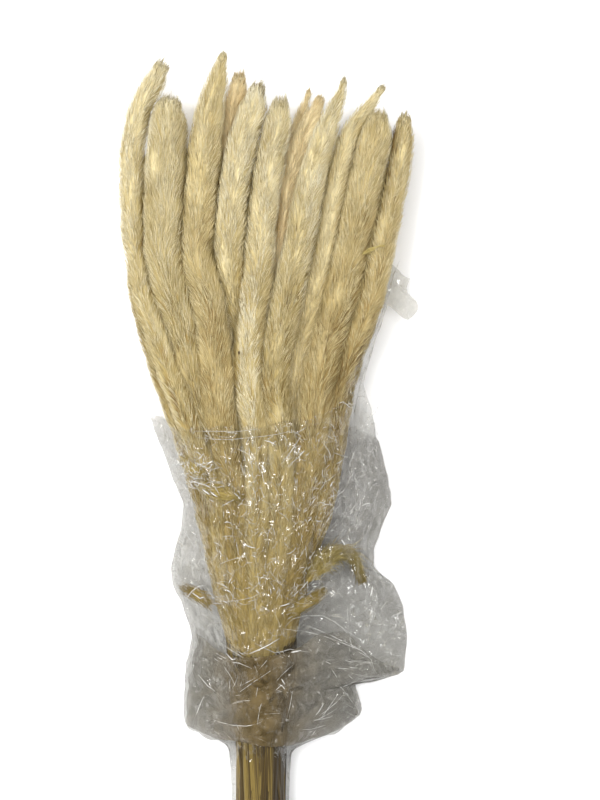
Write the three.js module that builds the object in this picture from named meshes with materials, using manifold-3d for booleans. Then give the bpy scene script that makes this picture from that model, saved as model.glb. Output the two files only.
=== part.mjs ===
// A bundle of dried pampas plumes with their stems, lying on a table in a loose sleeve of clear film.
// Millimetres. +Y runs from the cut stem ends to the plume tips, +X is the right-hand side seen from
// above, +Z is up from the table. The layout below has Y = 0 at the throat, where the hair begins, and
// X = 0 near the middle of the bundle. The finished group is moved so that its origin is the middle of
// the bundle's footprint, on the table.
import * as THREE from 'three';
import Module from 'manifold-3d';

// ---- Driving sizes ----
const TIP_TOP = 490; // above the tallest tip
const HAIR_BASE = -4; // lowest hair on a stem, just under the throat
const CUT_Y = -314; // cut ends of the stems
const CUT_SPREAD = 7; // stems are cut this much longer or shorter
const FILM_UNDER = 1.7; // room under the plumes for the film that lies below them
const CONTACT_GAP = 0.32; // half the space left between two plumes that press on each other
const STEM_GAP = 0.22; // half the space left between two stems
const FILM_WALL = 0.8; // stands in for film of about 0.04
const FILM_CLEAR = 1.1; // film to the nearest hair

// ---- The bundle's outline ----
// At each Y, its left and right side, its thickness, its lift off the table and the share of its full
// girth that each plume has there.
const OUTLINE = [
  // y, left, right, thickness, lift, girth share
  [-320, -19, 17, 36, 0, 0.3],
  [-200, -19, 17, 37, 1, 0.3],
  [-70, -20, 18, 40, 2, 0.3],
  [-4, -21, 20, 44, 2, 0.33],
  [16, -27, 24, 48, 2, 0.39],
  [40, -34, 31, 54, 1, 0.46],
  [80, -45, 45, 60, 0, 0.57],
  [128, -56, 60, 64, 0, 0.7],
  [184, -73, 70, 64, 0, 0.8],
  [220, -87, 74, 62, 0, 0.86],
  [250, -96, 84, 60, 0, 0.92],
  [290, -108, 98, 58, 0, 0.97],
  [340, -114, 108, 57, 0, 1],
  [400, -117, 121, 56, 0, 1],
  [490, -117, 125, 54, 0, 1],
];
const [LEFT, RIGHT, THICK, LIFT, SHARE] = [1, 2, 3, 4, 5];

// ---- Plumes ----
// Each row: girth (its radius at the thickest), tip (its girth builds up over about this length from
// the tip), height (of its middle in the fan), tint (0 is cream hair, 1 is straw) and route (the middle
// seen from above, from its tip down to where the bundle draws it in).
const FRONT_PLUMES = [
  [10.5, 7, 36, 0.1,
    [[-73, 480], [-85, 466], [-98, 446], [-105, 412], [-105, 366], [-100, 322], [-86, 275], [-68, 226]]],
  [17.5, 8, 42, 0.2, [[-71, 450], [-76, 430], [-77, 390], [-75, 340], [-66, 288], [-54, 240]]],
  [14.5, 26, 46, 0.3, [[-29, 486], [-36, 462], [-43, 434], [-46, 400], [-47, 350], [-45, 300], [-42, 260]]],
  [11, 10, 32, 0.9, [[-17, 472], [-21, 450], [-26, 416], [-31, 380], [-35, 340], [-34, 300]]],
  [13.5, 10, 44, 0.05, [[-2, 460], [-7, 440], [-13, 408], [-21, 366], [-27, 326], [-29, 286], [-27, 240]]],
  [12.5, 8, 48, 0, [[17, 448], [9, 424], [1, 396], [-5, 362], [-10, 324], [-13, 280], [-13, 230]]],
  [10.5, 14, 28, 1, [[50, 455], [43, 440], [33, 420], [23, 390], [15, 360], [10, 320], [4, 280]]],
  [13.5, 34, 47, 0.15,
    [[69, 465], [60, 444], [51, 422], [42, 394], [35, 360], [28, 325], [19, 280], [10, 230]]],
  [11, 24, 40, 0.5,
    [[101, 461], [91, 449], [79, 436], [69, 416], [62, 388], [56, 352], [48, 315], [37, 270], [28, 235]]],
  [15, 8, 46, 0.25, [[94, 438], [90, 414], [84, 384], [77, 346], [68, 308], [55, 262], [44, 228]]],
  [11, 9, 40, 0.45, [[115, 437], [111, 410], [106, 376], [100, 340], [92, 305], [79, 266], [62, 225]]],
];
const BACK_PLUMES = [
  [11, 22, 24, 0.2, [[-114, 314], [-108, 290], [-97, 256]]],
  [12, 20, 8, 0.35, [[-96, 408], [-97, 370], [-93, 320], [-80, 262]]],
  [13.5, 20, 8, 0.1, [[-64, 416], [-66, 370], [-64, 320], [-56, 262]]],
  [13, 20, 8, 0.55, [[-44, 425], [-44, 370], [-43, 310], [-38, 262]]],
  [13.5, 20, 8, 0.15, [[-20, 420], [-20, 370], [-20, 310], [-18, 262]]],
  [13, 20, 8, 0.3, [[2, 418], [2, 370], [2, 310], [1, 262]]],
  [9.5, 30, 10, 0.95, [[41, 464], [33, 446], [27, 428], [22, 400], [16, 350], [10, 300]]],
  [12, 20, 8, 0.6, [[30, 424], [29, 370], [24, 310], [18, 262]]],
  [13.5, 20, 8, 0.2, [[52, 416], [49, 370], [43, 310], [34, 262]]],
  [13, 20, 8, 0.4, [[74, 410], [72, 360], [63, 310], [50, 262]]],
  [12, 20, 8, 0.1, [[98, 402], [95, 356], [84, 310], [68, 262]]],
  [11, 20, 22, 0.5, [[118, 376], [112, 346], [101, 306], [80, 258]]],
];
const PLUMES = [
  ...FRONT_PLUMES.map((row) => ({ ...namedRow(row), hold: 0.35, looseHold: 0.05 })),
  ...BACK_PLUMES.map((row) => ({ ...namedRow(row), hold: 0.06, looseHold: 0.02 })),
];

function namedRow([girth, tip, height, tint, route]) {
  return { girth, tip, height, tint, route };
}

// ---- Small tools ----
const clamp = (v, low, high) => Math.min(high, Math.max(low, v));
const lerp = (a, b, t) => a + (b - a) * t;
const smooth = (t) => t * t * (3 - 2 * t);

// The value in the given column of a table sorted by its first column, eased between rows.
function along(table, y, column) {
  const last = table.length - 1;
  if (y <= table[0][0]) return table[0][column];
  if (y >= table[last][0]) return table[last][column];
  const i = table.findIndex((row) => row[0] > y) - 1;
  return lerp(table[i][column], table[i + 1][column], (y - table[i][0]) / (table[i + 1][0] - table[i][0]));
}

// Repeatable numbers from 0 to 1.
function seeded(seed) {
  let state = seed;
  return () => {
    state = (state + 0x6d2b79f5) | 0;
    let t = Math.imul(state ^ (state >>> 15), 1 | state);
    t = (t + Math.imul(t ^ (t >>> 7), 61 | t)) ^ t;
    return ((t ^ (t >>> 14)) >>> 0) / 4294967296;
  };
}

// ---- Layout: where each plume's middle runs ----
// Plumes follow their routes, press on each other like soft bodies and settle on the table. They are
// laid level by level from the tips down, each level starting from the one above, and are then moved
// a little more at all levels together and evened out along their length.
const LEVEL_STEP = 8;
const LEVELS = Math.round((TIP_TOP - CUT_Y + 10) / LEVEL_STEP);
const levelY = (k) => TIP_TOP - k * LEVEL_STEP;
const PRESS = 0.97; // plumes lie this much closer than their round girths
const LAYING_ROUNDS = 40;
const SETTLING_ROUNDS = 160;
const EVENING = 0.3;
const WEIGHT = 0.05; // how far a plume sinks in each round
const HEIGHT_HOLD = 0.07; // how firmly a plume of the fan stays over or under its neighbours

const FILM_REACH = 316; // the film lies under the plumes up to here
const FILM_FADE = 20; // and the plumes come down to the table over this length

function underside(y) {
  const overFilm = smooth(clamp((FILM_REACH + FILM_FADE - y) / FILM_FADE, 0, 1));
  return along(OUTLINE, y, LIFT) + FILM_UNDER * overFilm;
}

function radiusAt(plume, y) {
  const fromTip = plume.route[0][1] - y;
  if (fromTip <= 0) return 0;
  return plume.girth * along(OUTLINE, y, SHARE) * (1 - Math.exp(-(fromTip + 3) / plume.tip));
}

// An X at one level moved to another, keeping its share of the bundle's width.
function keepShare(x, fromY, toY) {
  const [from, to] = [fromY, toY].map((y) => [along(OUTLINE, y, LEFT), along(OUTLINE, y, RIGHT)]);
  return lerp(to[0], to[1], (x - from[0]) / (from[1] - from[0]));
}

// The plume's X on its route. Below its route it keeps its share of the bundle's width.
function routeX(plume, y) {
  const route = plume.route;
  const [endX, endY] = route[route.length - 1];
  if (y < endY) return keepShare(endX, endY, y);
  const i = Math.max(route.findIndex((point) => y >= point[1]), 1);
  const t = clamp((y - route[i][1]) / (route[i - 1][1] - route[i][1]), 0, 1);
  return lerp(route[i][0], route[i - 1][0], t);
}

// How firmly a plume is held to its route, which fades out below the route's end.
function holdAt(plume, y) {
  const end = plume.route[plume.route.length - 1][1];
  return lerp(plume.hold, plume.looseHold, smooth(clamp((end - y) / 100, 0, 1)));
}

// A spot of the level above, moved to this level as the bundle's outline narrows.
function carriedDown(spot, y, above) {
  const flatter = along(OUTLINE, y, THICK) / along(OUTLINE, above, THICK);
  return { x: keepShare(spot.x, above, y), z: underside(y) + (spot.z - underside(above)) * flatter };
}

// Holds a spot inside the bundle's outline, which is a flat band in the fan and round at the stems.
function keepInside(spot, y) {
  const [left, right] = [along(OUTLINE, y, LEFT) + spot.r * 0.9, along(OUTLINE, y, RIGHT) - spot.r * 0.9];
  const low = underside(y) + spot.r * 0.92;
  const high = Math.max(underside(y) + along(OUTLINE, y, THICK) - spot.r * 0.85, low + 1);
  spot.x = clamp(spot.x, left, right);
  spot.z = clamp(spot.z, low, high);
  const roundness = smooth(clamp((200 - y) / 150, 0, 1));
  const [middleX, middleZ] = [(left + right) / 2, (low + high) / 2];
  const out = Math.hypot((spot.x - middleX) / ((right - left) / 2), (spot.z - middleZ) / ((high - low) / 2));
  if (out > 1) {
    spot.x = lerp(spot.x, middleX + (spot.x - middleX) / out, roundness);
    spot.z = lerp(spot.z, middleZ + (spot.z - middleZ) / out, roundness);
  }
}

// One round at one level: spots go towards their routes, sink, push each other away and stay inside.
function settleLevel(spots, y) {
  const keepsHeight = HEIGHT_HOLD * smooth(clamp((y - 130) / 100, 0, 1));
  for (const s of spots) {
    s.x = lerp(s.x, s.wanted, s.hold);
    s.z = lerp(s.z - WEIGHT, s.height, keepsHeight);
  }
  for (let i = 0; i < spots.length; i++) {
    for (let j = i + 1; j < spots.length; j++) {
      const [a, b] = [spots[i], spots[j]];
      const [dx, dz] = [b.x - a.x, b.z - a.z];
      const apart = Math.hypot(dx, dz) || 1e-6;
      const push = ((a.r + b.r) * PRESS - apart) * 0.5;
      if (push <= 0) continue;
      a.x -= (dx / apart) * push;
      b.x += (dx / apart) * push;
      a.z -= (dz / apart) * push;
      b.z += (dz / apart) * push;
    }
  }
  for (const s of spots) keepInside(s, y);
}

function layOut(plumes) {
  const runs = plumes.map(() => []);
  const levels = [];
  for (let k = 0; k <= LEVELS; k++) {
    const y = levelY(k);
    plumes.forEach((plume, i) => {
      const r = radiusAt(plume, y);
      const wanted = routeX(plume, y);
      const before = k && r && radiusAt(plume, levelY(k - 1)) ? runs[i][k - 1] : null;
      const start = before ? carriedDown(before, y, levelY(k - 1)) : { x: wanted, z: plume.height };
      runs[i].push({ ...start, r, wanted, hold: holdAt(plume, y), height: plume.height });
    });
    levels.push(runs.map((run) => run[k]).filter((spot) => spot.r > 0));
    for (let round = 0; round < LAYING_ROUNDS; round++) settleLevel(levels[k], y);
  }
  for (let round = 0; round < SETTLING_ROUNDS; round++) {
    runs.forEach(evenOut);
    levels.forEach((spots, k) => settleLevel(spots, levelY(k)));
  }
  return runs;
}

// Draws each spot towards the middle of its neighbours along the plume. Above its tip a run stays put.
function evenOut(run) {
  const first = run.findIndex((spot) => spot.r > 0);
  const before = run.map((spot) => [spot.x, spot.z]);
  for (let k = first + 1; k < LEVELS; k++) {
    run[k].x = lerp(before[k][0], (before[k - 1][0] + before[k + 1][0]) / 2, EVENING);
    run[k].z = lerp(before[k][1], (before[k - 1][1] + before[k + 1][1]) / 2, EVENING);
  }
  for (let k = 0; k < first; k++) [run[k].x, run[k].z] = [run[first].x, run[first].z];
}

const MIDDLES = layOut(PLUMES);

function middleAt(i, y) {
  const k = clamp((TIP_TOP - y) / LEVEL_STEP, 0, LEVELS - 1e-6);
  const [whole, part] = [Math.floor(k), k - Math.floor(k)];
  const [a, b] = [MIDDLES[i][whole], MIDDLES[i][whole + 1]];
  return [lerp(a.x, b.x, part), lerp(a.z, b.z, part)];
}

// ---- Contact ----
// A point of plume i is drawn in to stay on its own side of every neighbour. Two neighbours meet on
// the line where their circles have equal power, as pressed soft bodies do.
function keptApart(i, x, y, z, gap) {
  const [cx, cz] = middleAt(i, y);
  const own = Math.max(radiusAt(PLUMES[i], y), 1);
  const [dx, dz] = [x - cx, z - cz];
  let share = 1;
  PLUMES.forEach((other, j) => {
    const r = radiusAt(other, y);
    if (j === i || r <= 0) return;
    const [ox, oz] = middleAt(j, y);
    const [ax, az] = [ox - cx, oz - cz];
    const apart = Math.hypot(ax, az);
    const reach = (dx * ax + dz * az) / apart;
    const limit = Math.max((apart * apart + own * own - r * r) / (2 * apart) - gap, 0.4);
    if (reach > limit) share = Math.min(share, limit / reach);
  });
  const floor = underside(y);
  if (cz + dz * share < floor) share = (floor - cz) / dz;
  return [cx + dx * share, y, cz + dz * share];
}

// ---- Meshes ----
// A closed mesh from rings of points, each ring running the same way round, with a fan over each end.
function closedFromRings(rings, startPoint, endPoint) {
  const sides = rings[0].length;
  const points = rings.flat();
  const faces = [];
  for (let k = 0; k + 1 < rings.length; k++) {
    for (let j = 0; j < sides; j++) {
      const [a, b] = [k * sides + j, k * sides + ((j + 1) % sides)];
      const [c, d] = [a + sides, b + sides];
      faces.push([a, b, d], [a, d, c]);
    }
  }
  const cap = (ring, point, flip) => {
    const apex = points.push(point) - 1;
    for (let j = 0; j < sides; j++) {
      const [a, b] = [ring * sides + j, ring * sides + ((j + 1) % sides)];
      faces.push(flip ? [b, a, apex] : [a, b, apex]);
    }
  };
  cap(0, startPoint, true);
  cap(rings.length - 1, endPoint, false);
  return meshGeometry(points, faces);
}

function meshGeometry(points, faces) {
  const geometry = new THREE.BufferGeometry();
  geometry.setAttribute('position', new THREE.Float32BufferAttribute(points.flat(), 3));
  geometry.setIndex(faces.flat());
  geometry.computeVertexNormals();
  return geometry;
}

// The plume's middle line from the lowest hair to the tip, as a smooth curve.
function middleLine(i) {
  const tipY = PLUMES[i].route[0][1];
  const points = [];
  const steps = Math.round((tipY - HAIR_BASE) / 16);
  for (let k = 0; k <= steps; k++) {
    const y = lerp(HAIR_BASE, tipY, k / steps);
    const [x, z] = middleAt(i, y);
    points.push(new THREE.Vector3(x, y, z));
  }
  return new THREE.CatmullRomCurve3(points);
}

// Two directions across a line that runs along the given direction: sideways, and up from the table.
function acrossDirections(ahead) {
  const side = new THREE.Vector3().crossVectors(ahead, new THREE.Vector3(0, 0, 1)).normalize();
  const up = new THREE.Vector3().crossVectors(side, ahead).normalize();
  return [side, up];
}

// A point on a circle round a line, a turn of 0 to 1 round it from its right-hand side.
function pointRound(middle, ahead, turn, radius) {
  const [side, up] = acrossDirections(ahead);
  const angle = -turn * 2 * Math.PI;
  return middle
    .clone()
    .addScaledVector(side, Math.cos(angle) * radius)
    .addScaledVector(up, Math.sin(angle) * radius);
}

const SIDES = 10;
const LOCK_PITCH = 32; // one tier of hair locks to the next
const LOCK_OVERHANG = 0.22; // a lock's point passes the next tier's root by this share of the pitch
const LOCK_SHOULDER = 0.62; // the valley beside a lock's point reaches this share of the pitch
const LOCK_WANDER = 0.16; // locks are this much longer or shorter, as a share of the pitch
const ROOT_SHARE = 0.84; // the hair's surface between locks, as a share of the girth
const VALLEY_SHARE = 0.97;
const POINT_SHARE = 1.1; // the locks' points stand this far out
const TIP_SHARE = 0.9; // the hair past the last tier
const BLUNT_SHARE = 0.8; // the tip's blunt end
const BLUNT_END = 0.12; // of the pitch, from the very tip
const LEAST_RADIUS = 0.8;

// A plume: hair in tiers of pointed locks that overlap like shingles towards the tip.
function plumeGeometry(i) {
  const random = seeded(100 + i);
  const line = middleLine(i);
  const length = line.getLength();
  const tiers = Math.round(length / LOCK_PITCH);
  const pitch = length / (tiers + 0.5);
  const columns = Array.from({ length: SIDES }, (_, j) => j);
  const ringPoint = (distance, j, share) => {
    const u = clamp(distance / length, 0, 1);
    const middle = line.getPointAt(u);
    const radius = Math.max(radiusAt(PLUMES[i], middle.y), LEAST_RADIUS) * share;
    const p = pointRound(middle, line.getTangentAt(u), j / SIDES, radius);
    return keptApart(i, p.x, Math.max(p.y, HAIR_BASE), p.z, CONTACT_GAP);
  };
  const rings = [];
  for (let tier = 0; tier < tiers; tier++) {
    const isPoint = (j) => (j + tier) % 2 === 0;
    rings.push(columns.map((j) => ringPoint((tier + (isPoint(j) ? 0.12 : 0)) * pitch, j, ROOT_SHARE)));
    const outer = columns.map((j) => {
      const wander = (random() - 0.5) * LOCK_WANDER;
      return isPoint(j)
        ? ringPoint((tier + 1 + LOCK_OVERHANG + wander) * pitch, j, POINT_SHARE)
        : ringPoint((tier + LOCK_SHOULDER + wander) * pitch, j, VALLEY_SHARE);
    });
    rings.push(outer);
  }
  rings.push(columns.map((j) => ringPoint(tiers * pitch, j, TIP_SHARE)));
  rings.push(columns.map((j) => ringPoint(length - BLUNT_END * pitch, j, BLUNT_SHARE)));
  return closedFromRings(rings, line.getPointAt(0).toArray(), line.getPointAt(1).toArray());
}

// A stem: six-sided, pressed against its neighbours where they are bunched, cut square at the end.
const STEM_SIDES = 6;
const STEM_LEVELS = [HAIR_BASE - 0.4, -40, -110, -210];
const STEM_RADIUS = 3.7;

function stemGeometry(i) {
  const random = seeded(500 + i);
  const cut = CUT_Y + (random() * 2 - 1) * CUT_SPREAD;
  const turn = random();
  const rings = [cut, ...STEM_LEVELS.toReversed()].map((y) => {
    const [cx, cz] = middleAt(i, y);
    return Array.from({ length: STEM_SIDES }, (_, j) => {
      const angle = Math.PI - ((j + turn) / STEM_SIDES) * 2 * Math.PI;
      const [x, z] = [cx + Math.cos(angle) * STEM_RADIUS, cz + Math.sin(angle) * STEM_RADIUS];
      return keptApart(i, x, y, z, STEM_GAP);
    });
  });
  const end = (y) => {
    const [x, z] = middleAt(i, y);
    return [x, y, z];
  };
  return closedFromRings(rings, end(cut), end(STEM_LEVELS[0]));
}

// ---- Side spray ----
// A small branch of hair stands out on the right, inside the film, and bends back down.
const SPRAY_ROUTE = [
  // x, y, z, radius
  [36, 62, 43, 3.6],
  [48, 78, 39, 5.4],
  [60, 86, 32, 5.2],
  [71, 83, 25, 4],
  [78, 71, 19, 2.8],
  [81, 55, 14, 1.2],
];
const SPRAY_SIDES = 7;
const SPRAY_TIERS = 8;
const SPRAY_RAGGED = 1.25; // its locks' points stand this far out
const SPRAY_ROOT = 0.72;
const SPRAY_MIDDLE = new THREE.CatmullRomCurve3(SPRAY_ROUTE.map(([x, y, z]) => new THREE.Vector3(x, y, z)));

function sprayRadius(u) {
  const rows = SPRAY_ROUTE.map((row, n) => [n / (SPRAY_ROUTE.length - 1), row[3]]);
  return along(rows, u, 1);
}

// Circles that the film has to clear where it passes the spray.
function sprayCircles(y) {
  const steps = 24;
  const reach = 18;
  const samples = Array.from({ length: steps + 1 }, (_, k) => k / steps);
  return samples
    .map((u) => ({ middle: SPRAY_MIDDLE.getPoint(u), r: sprayRadius(u) * SPRAY_RAGGED }))
    .filter(({ middle, r }) => Math.abs(middle.y - y) < r + reach)
    .map(({ middle, r }) => ({ x: middle.x, z: middle.z, r }));
}

function sprayGeometry() {
  const rings = [];
  for (let tier = 0; tier <= SPRAY_TIERS; tier++) {
    for (const isOuter of [false, true]) {
      const u = clamp((tier + (isOuter ? 0.9 : 0)) / (SPRAY_TIERS + 1), 0, 1);
      const ring = Array.from({ length: SPRAY_SIDES }, (_, j) => {
        const turn = j / SPRAY_SIDES;
        const ragged = 1 + (SPRAY_RAGGED - 1) * Math.cos(6 * Math.PI * turn + tier * 2.1);
        const radius = sprayRadius(u) * (isOuter ? ragged : SPRAY_ROOT);
        return pointRound(SPRAY_MIDDLE.getPoint(u), SPRAY_MIDDLE.getTangent(u), turn, radius).toArray();
      });
      rings.push(ring);
    }
  }
  return closedFromRings(rings, SPRAY_MIDDLE.getPoint(0).toArray(), SPRAY_MIDDLE.getPoint(1).toArray());
}

// ---- Film ----
// Where the film's loose sides reach at each Y: left and right edge, seen from above.
const FILM_END = -168; // the sleeve's lower edge, round the stems
const FILM_SIDES = [
  // y, left, right
  [FILM_END, -24, 20],
  [-112, -22, 18],
  [-74, -25, 20.5],
  [-71, -31, 44],
  [-62, -58, 60],
  [-52, -61, 78],
  [-30, -60, 72],
  [-22, -59, 69],
  [-19, -58.5, 111],
  [0, -58, 113],
  [16, -52, 114],
  [28, -53, 112],
  [48, -66, 107],
  [62, -70, 100],
  [68, -70, 86],
  [80, -69, 84],
  [104, -62, 92],
  [122, -61, 101],
  [144, -68, 96],
  [176, -82, 89],
  [208, -90, 71],
];
const FILM_EDGE_HEIGHT = 7; // the loose sides' folded edge above the table
const FILM_EDGE_RADIUS = 3; // how round the folded edge is
const FILM_SLACK = 0.8; // 0 clings to the bundle, 1 is stretched out to the folded edges
const FILM_COLUMNS = 28;
const FILM_RINGS = [FILM_END, -118, -75, -70, -60, -50, -23, -18, 14, 40, 58, 70, 84, 100, 122, 150, 176];

// The film's upper edge by the angle round the bundle: lowest in front, with a tongue up the right side.
const FILM_TOP = [
  // degrees anticlockwise from the right, y
  [-180, 196],
  [-100, 196],
  [-60, 206],
  [-26, 312],
  [12, 326],
  [30, 250],
  [48, 208],
  [80, 190],
  [150, 186],
  [180, 196],
];

function bundleCircles(y) {
  const circles = PLUMES.map((plume, i) => {
    const [x, z] = middleAt(i, y);
    return { x, z, r: y < HAIR_BASE ? STEM_RADIUS : radiusAt(plume, y) * POINT_SHARE };
  });
  return [...circles, ...sprayCircles(y)].filter((c) => c.r > 0);
}

// How far a ray from the middle at an angle runs before it leaves the taut wrap of the circles.
function wrapReach(circles, middle, angle) {
  let reach = Infinity;
  for (let n = -17; n <= 17; n++) {
    const normal = angle + (n / 18) * (Math.PI / 2);
    const support = Math.max(
      ...circles.map((c) => (c.x - middle.x) * Math.cos(normal) + (c.z - middle.z) * Math.sin(normal) + c.r),
    );
    reach = Math.min(reach, support / Math.cos(normal - angle));
  }
  return reach;
}

// One ring of the film: a wrap round the bundle that hangs slack out to its folded side edges.
function filmRing(yAt, outward) {
  const half = FILM_COLUMNS / 2;
  return Array.from({ length: FILM_COLUMNS }, (_, j) => {
    const turn = (j / FILM_COLUMNS) * 2 * Math.PI;
    const y = yAt(turn > Math.PI ? turn - 2 * Math.PI : turn);
    const circles = bundleCircles(y);
    const [left, right, thick] = [LEFT, RIGHT, THICK].map((column) => along(OUTLINE, y, column));
    const middle = { x: (left + right) / 2, z: underside(y) + thick / 2 };
    const hasEdges = y <= FILM_SIDES[FILM_SIDES.length - 1][0];
    const loose = (hasEdges ? [LEFT, RIGHT] : []).map((column) => ({
      x: along(FILM_SIDES, y, column),
      z: FILM_EDGE_HEIGHT,
      r: FILM_EDGE_RADIUS,
    }));
    const [leftAngle, rightAngle] = hasEdges
      ? loose.map((e) => Math.atan2(e.z - middle.z, e.x - middle.x))
      : [Math.PI, 0];
    const share = Math.atan2(Math.abs(Math.sin(turn)) * thick, Math.cos(turn) * (right - left)) / Math.PI;
    const leftTurn = leftAngle < 0 ? leftAngle + 2 * Math.PI : leftAngle;
    const angle = lerp(j <= half ? rightAngle : rightAngle + 2 * Math.PI, leftTurn, share);
    const taut = wrapReach(circles, middle, angle) + FILM_CLEAR;
    const tent = wrapReach([...circles, ...loose], middle, angle) + FILM_CLEAR;
    const reach = lerp(taut, tent, j % half === 0 ? 1 : FILM_SLACK) + outward;
    const floor = outward ? 0 : FILM_WALL + 0.1;
    return [middle.x + Math.cos(angle) * reach, y, Math.max(middle.z + Math.sin(angle) * reach, floor)];
  });
}

function filmGeometry() {
  const upper = [0.34, 0.67, 1];
  const lastRing = FILM_RINGS[FILM_RINGS.length - 1];
  const topAt = (turn) => along(FILM_TOP, THREE.MathUtils.radToDeg(turn), 1);
  const heights = [
    ...FILM_RINGS.map((y) => () => y),
    ...upper.map((share) => (turn) => lerp(lastRing, topAt(turn), share)),
  ];
  const inner = heights.map((yAt) => filmRing(yAt, 0));
  const outer = heights.map((yAt) => filmRing(yAt, FILM_WALL));
  const rings = [...outer, ...inner.toReversed()];
  const points = rings.flat();
  const faces = [];
  for (let k = 0; k < rings.length; k++) {
    for (let j = 0; j < FILM_COLUMNS; j++) {
      const next = ((k + 1) % rings.length) * FILM_COLUMNS;
      const [a, b] = [k * FILM_COLUMNS + j, k * FILM_COLUMNS + ((j + 1) % FILM_COLUMNS)];
      const [c, d] = [next + j, next + ((j + 1) % FILM_COLUMNS)];
      faces.push([a, d, b], [a, c, d]);
    }
  }
  return meshGeometry(points, faces);
}

// ---- Last contacts ----
// Where a plume still crosses another, the spray or the film, its hair is pressed in.
const PRESS_ROUNDS = 24;
const PRESS_STEP = 0.08; // share of the way to the plume's middle in one round
const PRESS_MARGIN = [6, 18, 6]; // hair this near to a crossing along X, Y and Z is pressed in too

const wasm = await Module();
wasm.setup();

function solidFrom(geometry) {
  return new wasm.Manifold(
    new wasm.Mesh({
      numProp: 3,
      vertProperties: geometry.getAttribute('position').array,
      triVerts: new Uint32Array(geometry.index.array),
    }),
  );
}

// Boxes round the places where two solids cross.
function crossings(a, b) {
  const common = a.intersect(b);
  if (common.volume() < 1e-4) return [];
  return common.decompose().map((bit) => bit.boundingBox());
}

function pressIn(geometry, i, boxes) {
  const position = geometry.getAttribute('position');
  for (let n = 0; n < position.count; n++) {
    const p = [position.getX(n), position.getY(n), position.getZ(n)];
    const near = ({ min, max }) =>
      p.every((v, c) => v > min[c] - PRESS_MARGIN[c] && v < max[c] + PRESS_MARGIN[c]);
    if (!boxes.some(near)) continue;
    const [x, z] = middleAt(i, p[1]);
    position.setXYZ(n, lerp(p[0], x, PRESS_STEP), p[1], Math.max(lerp(p[2], z, PRESS_STEP), underside(p[1])));
  }
  geometry.computeVertexNormals();
}

function drawApart(plumeShapes, obstacles) {
  const firm = obstacles.map(solidFrom);
  const solids = plumeShapes.map(solidFrom);
  for (let round = 0; round < PRESS_ROUNDS; round++) {
    const boxes = solids.map((solid) => firm.flatMap((obstacle) => crossings(solid, obstacle)));
    for (let i = 0; i < solids.length; i++) {
      for (let j = i + 1; j < solids.length; j++) {
        const found = crossings(solids[i], solids[j]);
        boxes[i].push(...found);
        boxes[j].push(...found);
      }
    }
    if (boxes.every((list) => list.length === 0)) return;
    boxes.forEach((list, i) => {
      if (list.length === 0) return;
      pressIn(plumeShapes[i], i, list);
      solids[i] = solidFrom(plumeShapes[i]);
    });
  }
}

// ---- Assembly ----
const CREAM = new THREE.Color('#e3d6ab');
const STRAW = new THREE.Color('#cfae75');
const stemMaterial = new THREE.MeshStandardMaterial({ color: '#9a8146', roughness: 0.62, metalness: 0 });
const sprayMaterial = new THREE.MeshStandardMaterial({ color: '#a98f4f', roughness: 0.85, metalness: 0 });
const filmMaterial = new THREE.MeshStandardMaterial({
  color: '#e9ebec',
  roughness: 0.12,
  metalness: 0,
  transparent: true,
  opacity: 0.28,
});

const bundle = new THREE.Group();
const addMesh = (name, geometry, material) => {
  const mesh = new THREE.Mesh(geometry, material);
  mesh.name = name;
  bundle.add(mesh);
};
const film = filmGeometry();
const spray = sprayGeometry();
const hair = PLUMES.map((_, i) => plumeGeometry(i));
drawApart(hair, [film, spray]);
PLUMES.forEach((plume, i) => {
  const label = String(i + 1).padStart(2, '0');
  const color = CREAM.clone().lerp(STRAW, plume.tint);
  addMesh(`plume_${label}`, hair[i], new THREE.MeshStandardMaterial({ color, roughness: 0.9, metalness: 0 }));
  addMesh(`stem_${label}`, stemGeometry(i), stemMaterial);
});
addMesh('side_spray', spray, sprayMaterial);
addMesh('film_sleeve', film, filmMaterial);

const box = new THREE.Box3().setFromObject(bundle);
bundle.position.set(-(box.min.x + box.max.x) / 2, -(box.min.y + box.max.y) / 2, -box.min.z);

export default bundle;
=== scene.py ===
"""A bunch of dried pampas grass in a crumpled clear film sleeve, lying on a white table.

Metres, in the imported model's frame: cut stems towards -Y, plume tips towards +Y, table at z = 0.
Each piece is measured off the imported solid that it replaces, then given its hair, grain or creases.
"""

import bpy
import numpy as np
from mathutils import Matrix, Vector


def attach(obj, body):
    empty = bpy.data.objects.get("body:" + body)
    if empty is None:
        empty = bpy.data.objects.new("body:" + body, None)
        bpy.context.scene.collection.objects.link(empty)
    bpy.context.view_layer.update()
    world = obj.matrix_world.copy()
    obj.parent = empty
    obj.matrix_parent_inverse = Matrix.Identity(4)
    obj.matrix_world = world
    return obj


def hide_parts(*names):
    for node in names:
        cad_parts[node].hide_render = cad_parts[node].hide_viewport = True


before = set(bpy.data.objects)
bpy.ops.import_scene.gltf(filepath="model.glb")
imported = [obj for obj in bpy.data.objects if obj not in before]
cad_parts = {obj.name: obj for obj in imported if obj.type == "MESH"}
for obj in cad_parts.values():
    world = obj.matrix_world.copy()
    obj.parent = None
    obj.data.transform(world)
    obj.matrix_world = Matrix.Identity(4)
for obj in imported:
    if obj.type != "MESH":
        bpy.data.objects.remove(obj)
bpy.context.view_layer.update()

# ---- White table, daylight and camera ----
# The bunch lies on a matt white table top. Soft daylight comes from the upper left, with smaller
# bright panes that show as sparkles in the film. The camera looks straight down on it.

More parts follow.
